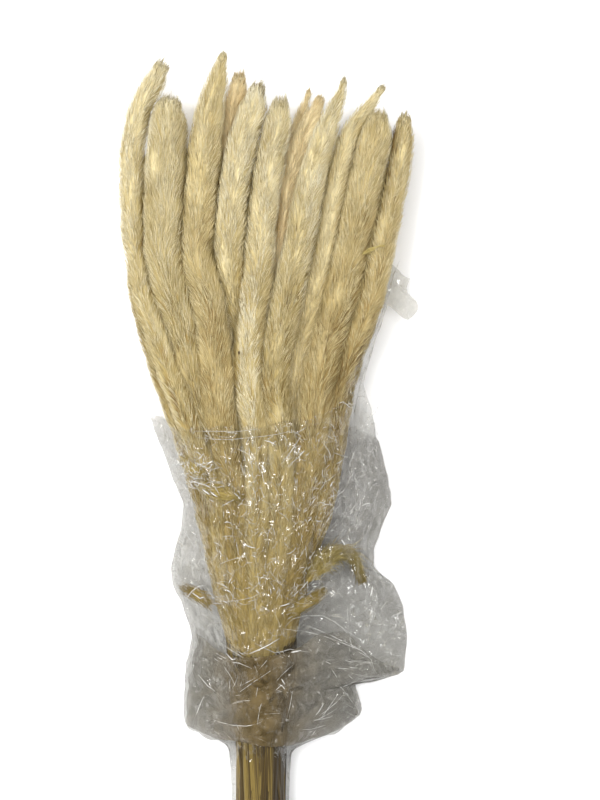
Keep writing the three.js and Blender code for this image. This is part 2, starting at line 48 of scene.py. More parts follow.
MM = 0.001
TABLE_HALF, TABLE_THICK = 4.0, 0.02
TABLE_DROP = 0.2 * MM  # below z = 0, so that nothing shares its face
PHOTO_MIDDLE = (0.0269, 0.1254)  # what the middle of the picture shows
PHOTO_LENGTH = 0.640  # seen from the picture's top to its bottom, at the bunch's own height
BUNCH_HEIGHT = 0.040
LENS, SENSOR = 68, 36
AIM = (0.0, 0.1, 0.03)
LIGHTS = {  # place, size, power, and whether the gloss mirrors it as a spark
    "ceiling_panel": ((-0.35, 0.35, 2.1), 1.6, 26, False),
    "window": ((-1.5, 0.6, 1.2), 0.9, 17, False),
    "pane_above_left": ((-0.42, 0.34, 1.5), 0.14, 4.0, True),
    "pane_above_right": ((0.5, 0.5, 1.45), 0.12, 2.8, True),
    "pane_low": ((-0.5, -0.8, 1.2), 0.14, 2.8, True),
    "pane_right": ((0.9, -0.2, 1.3), 0.12, 2.6, True),
}


def linear(colour):
    """sRGB hex to linear RGBA: below 0.04045 a straight line, above it a power of 2.4."""
    srgb = np.array([int(colour[k : k + 2], 16) for k in (1, 3, 5)]) / 255
    low = srgb / 12.92
    high = ((srgb + 0.055) / 1.055) ** 2.4
    return (*np.where(srgb <= 0.04045, low, high), 1.0)


def add_node(tree, kind, inputs=None, stops=(), **settings):
    """Add a shader node: settings are its properties, stops a ramp's places and colours from first to last.

    An input is a value, a hex colour, a socket to link, or a node whose first output in use is linked.
    """
    made = tree.nodes.new("ShaderNode" + kind)
    for key, value in settings.items():
        setattr(made, key, value)
    for key, value in (inputs or {}).items():
        if isinstance(value, bpy.types.Node):
            value = next(socket for socket in value.outputs if socket.enabled)
        if isinstance(value, bpy.types.NodeSocket):
            tree.links.new(value, made.inputs[key])
        else:
            made.inputs[key].default_value = linear(value) if isinstance(value, str) else value
    for k, (place, colour) in enumerate(stops):
        elements = made.color_ramp.elements
        inner = 0 < k < len(stops) - 1
        stop = elements.new(place) if inner else elements[0 if k == 0 else len(elements) - 1]
        stop.position, stop.color = place, linear(colour)
    return made


def new_material(name):
    """A material with an empty node tree: (material, tree)."""
    material = bpy.data.materials.new(name)
    material.use_nodes = True
    material.node_tree.nodes.clear()
    return material, material.node_tree


def new_piece(name, points, faces, materials, smooth=True, values=None, uv=None, slots=None):
    """A mesh object from points (n, 3) and a list of face arrays (m, corners)."""
    mesh = bpy.data.meshes.new(name)
    sizes = np.concatenate([np.full(len(f), f.shape[1]) for f in faces])
    corners = np.concatenate([f.ravel() for f in faces]).astype(np.int32)
    mesh.vertices.add(len(points))
    mesh.vertices.foreach_set("co", np.ascontiguousarray(points, dtype=np.float32).ravel())
    mesh.loops.add(len(corners))
    mesh.loops.foreach_set("vertex_index", corners)
    mesh.polygons.add(len(sizes))
    mesh.polygons.foreach_set("loop_start", np.concatenate([[0], np.cumsum(sizes)[:-1]]).astype(np.int32))
    mesh.polygons.foreach_set("use_smooth", np.full(len(sizes), smooth))
    if slots is not None:
        mesh.polygons.foreach_set("material_index", np.concatenate(slots).astype(np.int32))
    for key, value in (values or {}).items():
        made = mesh.attributes.new(key, "FLOAT", "POINT")
        made.data.foreach_set("value", np.ascontiguousarray(value, dtype=np.float32).ravel())
    if uv is not None:
        layer = mesh.uv_layers.new(name="lie")
        layer.data.foreach_set("uv", np.ascontiguousarray(uv[corners], dtype=np.float32).ravel())
    for material in materials:
        mesh.materials.append(material)
    mesh.update(calc_edges=True)
    mesh.validate()
    piece = bpy.data.objects.new(name, mesh)
    bpy.context.scene.collection.objects.link(piece)
    return piece


table_paint, tree = new_material("matt_white_laminate")
# A fine orange-peel grain keeps the table from reading as a blank backdrop.
place = add_node(tree, "TexCoord").outputs["Object"]
grain = add_node(tree, "TexNoise", {"Vector": place, "Scale": 900.0, "Detail": 2.0})
tint = add_node(tree, "Mix", {"Factor": grain, "A": "#fbfbfa", "B": "#ffffff"}, data_type="RGBA")
paint = add_node(tree, "BsdfPrincipled", {"Base Color": tint, "Roughness": 0.7, "Specular IOR Level": 0.1})
add_node(tree, "OutputMaterial", {"Surface": paint})

rim = np.array([(-1, -1), (1, -1), (1, 1), (-1, 1)]) * TABLE_HALF
slab = np.concatenate([np.c_[rim, np.full(4, z)] for z in (-TABLE_DROP, -TABLE_DROP - TABLE_THICK)])
slab_faces = np.array([(0, 1, 2, 3), (7, 6, 5, 4), (0, 4, 5, 1), (1, 5, 6, 2), (2, 6, 7, 3), (3, 7, 4, 0)])
table = new_piece("table_top", slab, [slab_faces], [table_paint], smooth=False)

for name, (place, size, power, mirrored) in LIGHTS.items():
    pane = bpy.data.lights.new(name, "AREA")
    pane.shape = "SQUARE"
    pane.size = size
    pane.energy = power
    lamp = bpy.data.objects.new(name, pane)
    lamp.location = place
    lamp.rotation_euler = (Vector(AIM) - Vector(place)).to_track_quat("-Z", "Y").to_euler()
    lamp.visible_glossy = mirrored
    bpy.context.scene.collection.objects.link(lamp)

sky = bpy.data.worlds.new("overcast_room")
sky.use_nodes = True
sky.node_tree.nodes["Background"].inputs["Color"].default_value = linear("#fdfdff")
sky.node_tree.nodes["Background"].inputs["Strength"].default_value = 0.57
sky.cycles_visibility.glossy = False  # the film's gloss shows only the small panes, as sparks
bpy.context.scene.world = sky
bpy.context.scene.view_settings.view_transform = "Standard"
bpy.context.scene.cycles.transparent_max_bounces = 40  # the film lies in many layers

lens = bpy.data.cameras.new("camera")
lens.lens, lens.sensor_width = LENS, SENSOR
lens.clip_start, lens.clip_end = 0.01, 20
camera = bpy.data.objects.new("camera", lens)
camera.location = (*PHOTO_MIDDLE, BUNCH_HEIGHT + PHOTO_LENGTH * LENS / SENSOR)
bpy.context.scene.collection.objects.link(camera)
bpy.context.scene.camera = camera

# ---- Plumes ----
# Each plume is a long seed head: a core of branched stalks and thousands of silky hairs that lie
# upwards along it. It grew and dried like that, and leans on its neighbours in the bunch.

STATIONS = 96
TURNS = 28
TURN = np.arange(TURNS) / TURNS * 2 * np.pi  # anticlockwise from the plume's right side, seen from its tip
TIP_GATHER = 14 * MM  # past a tip, hair draws together over this length
HAIR_STEPS = (0.0, 0.55, 1.0)  # where a hair's middle line has its points, as shares of its length
HAIR_POINTS = 7
HAIR_DEEP = 0.45  # a hair's depth beside its width


def solid_of(name):
    """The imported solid's triangles, as (n, 3, 3) corner points."""
    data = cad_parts[name].data
    data.calc_loop_triangles()
    points = np.empty(len(data.vertices) * 3)
    data.vertices.foreach_get("co", points)
    corners = np.empty(len(data.loop_triangles) * 3, dtype=np.int32)
    data.loop_triangles.foreach_get("vertices", corners)
    return points.reshape(-1, 3)[corners.reshape(-1, 3)]


def slice_middles(triangles, heights, axis):
    """The middle of the solid's slice at each height along an axis: halfway between its outermost points."""
    start = np.broadcast_to(triangles, (len(heights), *triangles.shape))
    end = np.roll(start, -1, axis=2)
    above = heights[:, None, None]
    crosses = (start[..., axis] < above) != (end[..., axis] < above)
    rise = np.where(crosses, end[..., axis] - start[..., axis], 1)
    share = ((above - start[..., axis]) / rise)[..., None]
    cuts = np.where(crosses[..., None], start + share * (end - start), np.nan).reshape(len(heights), -1, 3)
    return (np.nanmin(cuts, axis=1) + np.nanmax(cuts, axis=1)) / 2


def eased(rows, rounds, axis=0, wraps=False):
    """Each value drawn towards its neighbours' along an axis: a quarter of each side's and half its own."""
    rows = np.moveaxis(rows, axis, 0)
    for _ in range(rounds):
        before, after = np.roll(rows, 1, axis=0), np.roll(rows, -1, axis=0)
        if not wraps:
            before[0], after[-1] = rows[0], rows[-1]
        rows = (before + 2 * rows + after) / 4
    return np.moveaxis(rows, 0, axis)


def wall_distance(triangles, origin, directions):
    """How far each direction runs from origin to the solid's wall.

    A ray meets a triangle where both weights of its plane point are positive and add up to at most 1.
    """
    ab, ac = triangles[:, 1] - triangles[:, 0], triangles[:, 2] - triangles[:, 0]
    across = np.cross(directions[:, None], ac)
    volume = np.einsum("dtk,tk->dt", across, ab)
    volume = np.where(np.abs(volume) < 1e-15, np.nan, volume)
    offset = origin - triangles[:, 0]
    first = np.einsum("dtk,tk->dt", across, offset) / volume
    turned = np.cross(offset, ab)
    second = directions @ turned.T / volume
    distance = np.einsum("tk,tk->t", ac, turned) / volume
    hits = (first >= -1e-6) & (second >= -1e-6) & (first + second <= 1 + 1e-6) & (distance > 0)
    return np.where(hits, distance, np.inf).min(axis=1)


def measured(name, stations, turns, axis=1, reach=0.06):
    """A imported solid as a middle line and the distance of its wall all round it, at most reach.

    The middle runs along the axis, from the solid's low end to its high one. Gives, for each station:
    its place along the middle, the middle, three directions (right, up, ahead), and for each turn the
    direction across and the wall's distance.
    """
    triangles = solid_of(name)
    low, high = triangles[..., axis].min(), triangles[..., axis].max()
    heights = np.linspace(low + 0.4 * MM, high - 0.4 * MM, 4 * stations)
    line = eased(slice_middles(triangles, heights, axis), 10)
    length = np.concatenate([[0], np.cumsum(np.linalg.norm(np.diff(line, axis=0), axis=1))])
    even = np.linspace(0, length[-1], stations)
    middle = np.stack([np.interp(even, length, line[:, k]) for k in range(3)], axis=1)
    ahead = eased(np.gradient(middle, axis=0), 4)
    ahead /= np.linalg.norm(ahead, axis=1, keepdims=True)
    right = np.cross(ahead, (0, 0, 1))
    right /= np.linalg.norm(right, axis=1, keepdims=True)
    up = np.cross(right, ahead)
    turn = (np.arange(turns) / turns * 2 * np.pi)[:, None]
    across = np.cos(turn) * right[:, None] + np.sin(turn) * up[:, None]
    walls = np.array([wall_distance(triangles, middle[k], across[k]) for k in range(stations)])
    walls[~np.isfinite(walls) | (walls > reach)] = np.nan
    filled = np.nanmedian(walls, axis=1)
    filled = np.where(np.isfinite(filled), filled, 0.5 * MM)
    walls = np.where(np.isfinite(walls), walls, filled[:, None])
    return {
        "length": even, "middle": middle, "right": right, "up": up, "ahead": ahead,
        "across": across, "walls": walls,
    }


def skin_of(form):
    """A measured form's surface as a grid of points: middle + wall along the direction across."""
    return form["middle"][:, None] + form["walls"][..., None] * form["across"]


def between(rows, place):
    """Rows read at fractional places, on straight lines between them; past the ends, carried on."""
    first = np.clip(np.floor(place).astype(int), 0, len(rows) - 2)
    share = (place - first).reshape(place.shape + (1,) * (rows.ndim - 1))
    return rows[first] * (1 - share) + rows[first + 1] * share


def read_grid(grid, row, column):
    """A grid read at fractional rows and columns: its four nearest values, weighted by how near they are.

    Past its last column comes its first one.
    """
    top = np.clip(np.floor(row).astype(int), 0, len(grid) - 2)
    left = np.floor(column).astype(int)
    down, across = row - top, column - left
    total = 0
    for a, b in ((0, 0), (0, 1), (1, 0), (1, 1)):
        weight = (down if a else 1 - down) * (across if b else 1 - across)
        total = total + weight * grid[top + a, (left + b) % grid.shape[1]]
    return total


def on_skin(form, along, turn, lift):
    """Points over a form, middle + (reach + lift) along the direction at turn, and those directions."""
    length, last = form["length"][-1], len(form["length"]) - 1
    place = along / length * last
    middle, right, up = (between(form[key], place) for key in ("middle", "right", "up"))
    column = np.mod(turn / (2 * np.pi), 1) * form["walls"].shape[1]
    past = np.clip(along / length - 1, 0, 1) * length
    gather = np.clip(1 - past / TIP_GATHER, 0.15, 1)
    reach = read_grid(form["walls"], np.clip(place, 0, last), column) * gather
    across = np.cos(turn)[:, None] * right + np.sin(turn)[:, None] * up
    return middle + np.maximum(reach + lift, 0.2 * MM)[:, None] * across, across


def on_reach(form, along, turn):
    """The form's own reach at a place and turn, from the nearest station."""
    last, turns = len(form["length"]) - 1, form["walls"].shape[1]
    row = np.clip(np.round(along / form["length"][-1] * last), 0, last)
    column = np.round(np.mod(turn / (2 * np.pi), 1) * turns) % turns
    return form["walls"][row.astype(int), column.astype(int)]


def closed_tube(stations, sides):
    """Faces of rings joined side by side, numbered ring by ring, with a fan to each of two last points."""
    rings = np.arange(stations * sides).reshape(stations, sides)
    after = np.roll(rings, -1, axis=1)
    quads = np.stack([rings[:-1], after[:-1], after[1:], rings[1:]], axis=-1).reshape(-1, 4)
    first = np.stack([after[0], rings[0], np.full(sides, rings.size)], axis=-1)
    last = np.stack([rings[-1], after[-1], np.full(sides, rings.size + 1)], axis=-1)
    return quads, np.concatenate([first, last])


def smooth_noise(rng, shape, rounds):
    """Random values eased over a grid that closes on itself, scaled to a spread of 1."""
    field = rng.normal(size=shape)
    for axis, count in enumerate(rounds):
        field = eased(field, count, axis, wraps=axis == 1)
    return (field - field.mean()) / field.std()


def strands(form, roots, turns, lengths, lean, lifts, widths):
    """Closed three-sided hairs that lie along a measured form.

    A hair starts at (root, turn) and runs ahead by its length: the place along is root + length cos(lean) t,
    the turn is turn + length sin(lean) t / reach, and the lift follows lifts at HAIR_STEPS.
    Gives points (HAIR_POINTS for each hair), quads, triangles, and each point's t.
    """
    reach = np.maximum(on_reach(form, roots, turns), 4 * MM)
    line, outward = [], []
    for t, lift in zip(HAIR_STEPS, lifts):
        turn = turns + lengths * np.sin(lean) * t / reach
        points, across = on_skin(form, roots + lengths * np.cos(lean) * t, turn, lift)
        line.append(points)
        outward.append(across)
    course = line[2] - line[0]
    course /= np.maximum(np.linalg.norm(course, axis=1, keepdims=True), 1e-9)
    flank = np.cross(course, outward[1])
    flank /= np.maximum(np.linalg.norm(flank, axis=1, keepdims=True), 1e-9)
    rows = []
    for step, share in ((0, 0.55), (1, 1.0)):  # narrower at the root; the last point is the hair's tip
        for aside, over in ((-0.5, 0), (0.5, 0), (0, HAIR_DEEP)):
            offset = flank * aside + outward[step] * over
            rows.append(line[step] + offset * (widths * share)[:, None])
    rows.append(line[2])
    base = np.arange(len(roots))[:, None, None] * HAIR_POINTS
    quads = base + np.array([(0, 1, 4, 3), (1, 2, 5, 4), (2, 0, 3, 5)])
    tris = base + np.array([(0, 2, 1), (3, 4, 6), (4, 5, 6), (5, 3, 6)])
    t = np.tile(np.repeat(HAIR_STEPS, (3, 3, 1)), len(roots))
    return np.stack(rows, axis=1).reshape(-1, 3), quads.reshape(-1, 4), tris.reshape(-1, 3), t


def hairy_piece(name, material, core, core_shade, core_uv, tube, hairs, shade, uv, lowest):
    """A core of rings closed as a tube, and its hairs, in one mesh with nothing below the lowest Z."""
    points = np.concatenate([core, hairs[0]])
    points[:, 2] = np.maximum(points[:, 2], lowest)  # the table presses the lowest hair flat
    faces = [*closed_tube(*tube), *(part + len(core) for part in hairs[1:])]
    shades = np.clip(np.concatenate([core_shade, shade]), 0, 1)
    uv = np.concatenate([core_uv, uv])
    return new_piece(name, points, faces, [material], values={"shade": shades}, uv=uv)


def hair_material(name, brown, dark, middle, light, patch):
    """Dry silky hair: a soft sheen, each hair its own shade, and larger patches a little more tan."""
    material, tree = new_material(name)
    shade = add_node(tree, "Attribute", attribute_name="shade").outputs["Fac"]
    tones = [(0, brown), (0.15, dark), (0.5, middle), (1, light)]
    ramp = add_node(tree, "ValToRGB", {"Fac": shade}, tones)
    place = add_node(tree, "TexCoord").outputs["Object"]
    # Patches about 30 mm across, where the hair has yellowed more.
    patches = add_node(tree, "TexNoise", {"Vector": place, "Scale": 34.0, "Detail": 2.0})
    spread = add_node(tree, "MapRange", {"Value": patches, "From Min": 0.4, "From Max": 0.75, "To Max": 0.3})
    # The lowest hair, against the stalks, has yellowed most.
    height = add_node(tree, "SeparateXYZ", {"Vector": place}).outputs["Y"]
    limits = {"From Min": 0.13, "From Max": -0.03, "To Max": 0.62}
    lowest = add_node(tree, "MapRange", {"Value": height, **limits})
    yellow = add_node(tree, "Math", {0: spread, 1: lowest}, operation="ADD")
    stained = add_node(tree, "Mix", {"Factor": yellow, "A": ramp, "B": patch}, data_type="RGBA")
    # Streaks of single hairs, 0.5 mm apart and 15 mm long, on the lie of the hair. Their darker lines are
    # partly each hair's own tone and partly painted shade in the gaps between hairs.
    lie = add_node(tree, "UVMap", uv_map="lie")
    lay = add_node(tree, "Mapping", {"Vector": lie, "Scale": (2000.0, 70.0, 1.0)})
    streaks = add_node(tree, "TexNoise", {"Vector": lay, "Scale": 1.0, "Detail": 3.0})
    limits = {"From Min": 0.3, "From Max": 0.7, "To Min": 0.73, "To Max": 1.13}
    depth = add_node(tree, "MapRange", {"Value": streaks, **limits})
    hair = add_node(tree, "VectorMath", {0: stained, 1: depth}, operation="MULTIPLY")
    bump = add_node(tree, "Bump", {"Height": streaks, "Strength": 0.5, "Distance": 0.0006})
    gloss = {"Roughness": 0.58, "Specular IOR Level": 0.35}
    sheen = {"Sheen Weight": 0.12, "Sheen Roughness": 0.4, "Sheen Tint": middle}
    silk = add_node(tree, "BsdfPrincipled", {"Base Color": hair, "Normal": bump, **gloss, **sheen})
    add_node(tree, "OutputMaterial", {"Surface": silk})
    return material


HAIR = {
    "cream_hair": hair_material("cream_pampas_hair", "#7c6235", "#a8935b", "#e1d2a2", "#fcf5d9", "#baa568"),
    "straw_hair": hair_material("straw_pampas_hair", "#705629", "#9c8450", "#d8c691", "#f5eac2", "#b29c5d"),
    "tan_hair": hair_material("tan_pampas_hair", "#845f31", "#ab8d57", "#e2c890", "#f8e8bb", "#c09c5e"),
}
# For each plume that shows: its slot, its share of hair, how far its shade leans to light (partly the plume's
# own paler tone, partly painted light that offsets the shade of plumes lying deep in the bunch), and how
# blunt its tip is (1) or pointed (0).
SHOWN = {
    1: ("cream_hair", 1.0, 0.6, 0.8),
    2: ("cream_hair", 1.0, 0.4, 1.0),
    3: ("straw_hair", 1.0, 0.7, 0.0),
    4: ("tan_hair", 1.0, 2.6, 0.9),
    5: ("cream_hair", 1.0, 0.9, 0.9),
    6: ("cream_hair", 1.0, 0.8, 1.0),
    7: ("tan_hair", 1.0, 3.6, 0.0),
    8: ("cream_hair", 1.0, 0.6, 0.2),
    9: ("straw_hair", 1.0, 2.3, 0.0),
    10: ("straw_hair", 1.0, 0.6, 0.9),
    11: ("straw_hair", 1.0, 0.3, 0.8),
    12: ("cream_hair", 1.0, 0.0, 0.8),
    18: ("tan_hair", 1.0, 3.0, 0.0),
    23: ("straw_hair", 1.0, 0.3, 0.3),
}
# The other plumes, at the back, are alike and have less hair: cream and straw by turns.
BACK = [(slot, 0.3, 0.0, 0.8) for slot in ("cream_hair", "straw_hair")]
PLUMES = {f"plume_{n:02d}": SHOWN.get(n, BACK[n % 2]) for n in range(1, 24)}
STRIPED = "plume_06"  # a stripe of it is drawn nearly white, with a darker furrow painted on either side: painted shade, as the shape has no furrows
STRIPE_X, STRIPE_HALF, STRIPE_TOP = -14 * MM, 7 * MM, 0.225
FURROW_ASIDE, FURROW_WIDTH = 2.5 * MM, 2 * MM
HAIR_PITCH = 0.25  # full plumes have this many hairs on a square millimetre
HAIR_GIRTH = 0.09  # a turn round a plume, on the map of the hair's lie
# At each Y, how deep hair fills the groove between two plumes, where the next one is this near.
BRIDGE_Y, BRIDGE_DEEP = [0.02, 0.12, 0.20, 0.28], [5.5 * MM, 5.0 * MM, 3.2 * MM, 1.0 * MM]
BRIDGE_REACH = 10 * MM
FILM_FRONT = 0.104  # film covers the plumes below this Y, and presses their hair flat
DOME = 13 * MM  # a blunt tip stays full up to this far from its end, then closes in a dome
CORE_DOME = 5 * MM  # the core's own dome, under the hair
CORE_SINK, LOCK_HIGH = 1.2 * MM, 0.25 * MM  # how deep the core lies in the hair, and how high its locks are
OPEN_TIP = 12 * MM  # how far down from a tip the core is drawn lighter, so that its painted shade does not darken the tip
LOCK_TURNS = np.array([0.1, 0.6, 1.4, 2.5, 3.0, 4.5])  # where a blunt tip's locks stand, most at its sides
CROWN_SHARE = 0.05  # of the hairs grow at the tip and close over its end
STANDING_SHARE = 0.5  # of a blunt tip's crown stands up in those locks
HUSK_SHARE = 0.05  # of the hairs are seed husks, drawn brown
plume_forms = {name: measured(name, STATIONS, TURNS) for name in PLUMES}


def nearness(name):
    """How near the next plume is at each place on a plume's skin, from 0 (BRIDGE_REACH away) to 1 (touching).

    The gap is the distance to the other plume's middle at the same Y, less its mean reach there.
    """
    skin = skin_of(plume_forms[name])
    gap = np.full(skin.shape[:2], np.inf)
    for other, its in plume_forms.items():
        if other == name:
            continue
        x, z, reach = (
            np.interp(skin[..., 1], its["middle"][:, 1], value, left=np.nan, right=np.nan)
            for value in (its["middle"][:, 0], its["middle"][:, 2], its["walls"].mean(axis=1))
        )
        gap = np.fmin(gap, np.hypot(skin[..., 0] - x, skin[..., 2] - z) - reach)
    return np.clip(1 - gap / BRIDGE_REACH, 0, 1)


def tone_at(height):
    """How much lighter hair is at a height in Y: pale at the top, darker down to the stems."""
    # The darkening down to the stems is partly the lower hair's own colour and partly painted shade of the
    # bunch's lower part.
    return np.interp(height, [-0.07, 0.02, 0.09, 0.15, 0.21, 0.30], [-0.38, -0.27, -0.22, -0.22, -0.13, 0.03])


closeness = {name: nearness(name) for name in PLUMES}
for name, form in plume_forms.items():
    length = form["length"]
    drawn_in = 0.5 + 0.5 * np.clip(length / 0.03, 0, 1)[:, None]  # the lowest hair closes round the stem
    bridge = np.interp(form["middle"][:, 1], BRIDGE_Y, BRIDGE_DEEP)[:, None]
    walls = eased(form["walls"] * drawn_in + bridge * closeness[name], 2)
    walls = eased(walls, 1, axis=1, wraps=True)
    past = np.clip(1 - (length[-1] - length) / DOME, 0, 1)[:, None]
    full = walls[np.searchsorted(length, length[-1] - DOME)]
    dome = full * np.clip(1 - past**3, 0.08, 1) ** 0.5
    form["walls"] = np.maximum(walls, PLUMES[name][3] * (past > 0) * dome)

for number, (name, (slot, share, lightness, blunt)) in enumerate(PLUMES.items()):
    rng = np.random.default_rng(100 + number)
    form = plume_forms[name]
    length = form["length"][-1]
    fade = 0.9 if name == STRIPED else 1.0  # how much of tone_at's darkening from top to bottom it has
    pale = 0.16 * lightness
    # Core: the measured skin drawn in a little, with long shallow locks, closed under the tip.
    along, turn = np.repeat(form["length"], TURNS), np.tile(TURN, STATIONS)
    locks = smooth_noise(rng, (STATIONS, TURNS), (5, 1)).ravel()
    core, _ = on_skin(form, along, turn, -CORE_SINK + LOCK_HIGH * locks)
    dome = np.sqrt(np.clip(1 - np.clip(1 - (length - along) / CORE_DOME, 0, 1) ** 2, 0.02, 1))[:, None]
    spine = np.repeat(form["middle"], TURNS, axis=0)
    core = np.concatenate([spine + (core - spine) * dome, form["middle"][[0, -1]]])
    ahead = np.concatenate([along, [0, length]])
    crease = np.concatenate([closeness[name].ravel(), [0, 0]])
    # Painted shade in the groove where the next plume is near, strongest near the top.
    brown = np.interp(core[:, 1], [0.1, 0.2, 0.3], [0.1, 0.3, 0.6])
    # The core is drawn darker than its hairs: painted shade in the gaps between the hairs.
    core_shade = 0.30 + 0.07 * np.concatenate([locks, [0, 0]]) + fade * tone_at(core[:, 1])
    core_shade -= brown * crease**3
    core_shade += pale + 0.3 * np.clip(1 - (length - ahead) / OPEN_TIP, 0, 1)
    core_uv = np.c_[np.concatenate([turn / (2 * np.pi) * HAIR_GIRTH, [0, 0]]), ahead]

    # Hairs: rooted evenly over the skin, more on the side that shows.
    cell = form["walls"] * (1.25 + 0.75 * np.sin(TURN))
    count = int(form["walls"].mean() * 2 * np.pi * length / MM**2 * HAIR_PITCH * share)
    cells = rng.choice(cell.size, count, p=cell.ravel() / cell.sum())
    station, side = cells // TURNS, cells % TURNS
    roots = (station + rng.random(count) - 0.5) * length / (STATIONS - 1)
    crown = rng.random(count) < CROWN_SHARE
    roots = np.where(crown, length - rng.uniform(3, 12, count) * MM, np.clip(roots, 0, length * 0.985))
    turns = (side + rng.random(count) - 0.5) / TURNS * 2 * np.pi
    # A standing lock is longest in its middle.
    lock = rng.integers(0, len(LOCK_TURNS), count)
    inmost = rng.random(count)
    standing = crown & (rng.random(count) < STANDING_SHARE * blunt)
    lock_turn = LOCK_TURNS + rng.normal(0, 0.25, len(LOCK_TURNS))
    turns = np.where(standing, lock_turn[lock] + rng.normal(0, 0.35, count) * (1.1 - inmost), turns)
    past_end = (rng.uniform(3.0, 13.0, len(LOCK_TURNS))[lock] * inmost - 3.0) * MM
    girth = on_reach(form, roots, turns)
    lengths = (0.42 * girth + 5.0 * MM) * rng.uniform(0.7, 1.35, count)
    fields = smooth_noise(rng, (STATIONS, TURNS), (7, 2))[station, side]
    ribbons = smooth_noise(rng, (STATIONS, TURNS), (26, 1))[station, side]  # long pale and dark locks
    ragged = 1 + 2.4 * blunt * np.clip(ribbons, 0, 1.6)  # at a blunt tip some locks stick out past the others
    to_end = length - roots
    lengths = np.minimum(lengths, to_end + rng.gamma(1.5, 1.5, count) * ragged * MM)
    lengths = np.where(crown, np.maximum(lengths, to_end + rng.uniform(-1.5, 1.0, count) * MM), lengths)
    lengths = np.where(standing, to_end + past_end, lengths)
    lean = -0.30 * np.cos(turns) + 0.10 * fields + rng.normal(0, 0.13, count)
    x, height, _ = between(form["middle"], roots / length * (STATIONS - 1)).T
    free = np.clip((height - FILM_FRONT) / 0.02, 0, 1)
    stand = rng.gamma(6.0, 1 / 6.0, count) * (0.45 + 0.55 * free) * MM
    stray = rng.random(count) < 0.03 + 0.04 * (1 - free)  # a few hairs stand off and cross the others
    stand = np.where(stray, 2.6 * stand, stand)
    lean = lean + stray * rng.normal(0, 0.35, count)
    lifts = [
        np.where(crown, -2.5 * MM, -1.5 * MM),
        0.2 * stand - crown * rng.uniform(0.0, 2.0, count) * MM,
        np.where(standing, 0.22 * girth, 1.3 * stand - crown * rng.uniform(0.0, 5.0, count) * MM),
    ]
    widths = rng.uniform(0.24, 0.50, count) * MM
    *hairs, t = strands(form, roots, turns, lengths, lean, lifts, widths)
    own = 0.60 + 0.13 * rng.normal(size=count) + 0.05 * fields + 0.07 * ribbons
    own += pale + fade * tone_at(height)
    groove_shade = np.interp(height, [0.1, 0.2, 0.3], [0.25, 0.6, 1.1])
    own -= groove_shade * closeness[name][station, side] ** 2.5  # painted shade in the groove between two plumes, strongest near the top
    if name == STRIPED:
        aside = np.abs(x + girth * np.cos(turns) - STRIPE_X)
        # Painted shade of a furrow on either side of the stripe.
        furrow_shade = np.exp(-(((aside - STRIPE_HALF - FURROW_ASIDE) / FURROW_WIDTH) ** 2))
        own += np.clip((STRIPE_TOP - height) / 0.02, 0, 1) * (0.26 * (aside < STRIPE_HALF) - 0.34 * furrow_shade)
    own -= 0.4 * (rng.random(count) < HUSK_SHARE)
    shade = np.repeat(own, HAIR_POINTS) + 0.16 * (t - 0.5)
    hair_uv = np.repeat(np.c_[turns / (2 * np.pi) * HAIR_GIRTH, roots], HAIR_POINTS, axis=0)
    hair_uv[:, 1] += t * 0.01
    tube = (STATIONS, TURNS)
    parts = (core, core_shade, core_uv, tube, hairs, shade, hair_uv)
    piece = hairy_piece(f"{name}_hair", HAIR[slot], *parts, lowest=0.2 * MM)
    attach(piece, "root")
    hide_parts(name)

# ---- Stems ----
# The plumes' bare stalks: slim solid canes, ribbed lengthwise, with a joint every few centimetres
# where a dry leaf sheath was stripped off. They were cut across with shears, which left pale pith.

STEM_SIDES = 24
STEM_STATIONS = 110
RIBS = 11  # lengthwise ribs, about 2 mm apart
STEM_GIRTH = 0.022  # a turn round a cane, on the map of its fibres
STEM_ROOT = 14 * MM  # its upper end is hidden this deep in the plume
RING_LONG, WAIST_LONG, WAIST_ABOVE = 1.6 * MM, 2.0 * MM, 4.0 * MM  # a joint's ring, and the waist above it

cane, tree = new_material("dried_cane")
# Waxy skin, dull and streaked: ochre with greener and browner strips, each rib a little different.
lie = add_node(tree, "UVMap", uv_map="lie")
lay = add_node(tree, "Mapping", {"Vector": lie, "Scale": (900.0, 9.0, 1.0)})
fibres = add_node(tree, "TexNoise", {"Vector": lay, "Scale": 1.0, "Detail": 5.0})
ochre = add_node(tree, "ValToRGB", {"Fac": fibres}, [(0.28, "#2b210b"), (0.5, "#4f401a"), (0.74, "#7a6432")])
age = add_node(tree, "Attribute", attribute_name="age").outputs["Fac"]
weathered = add_node(tree, "Mix", {"Factor": age, "A": ochre, "B": "#3f3218"}, data_type="RGBA")
relief = add_node(tree, "Bump", {"Height": fibres, "Strength": 0.6, "Distance": 0.0004})
wax = add_node(tree, "BsdfPrincipled", {"Base Color": weathered, "Roughness": 0.5, "Normal": relief})
add_node(tree, "OutputMaterial", {"Surface": wax})

pith, tree = new_material("cut_pith")
# Dry pith is pale and matt, dotted with the browner ends of its fibres about 0.4 mm apart.
place = add_node(tree, "TexCoord").outputs["Object"]
dots = add_node(tree, "TexVoronoi", {"Vector": place, "Scale": 2500.0})
tone = add_node(tree, "ValToRGB", {"Fac": dots}, [(0.12, "#9a7c46"), (0.45, "#e2d0a2")])
dry = add_node(tree, "BsdfPrincipled", {"Base Color": tone, "Roughness": 0.9})
add_node(tree, "OutputMaterial", {"Surface": dry})

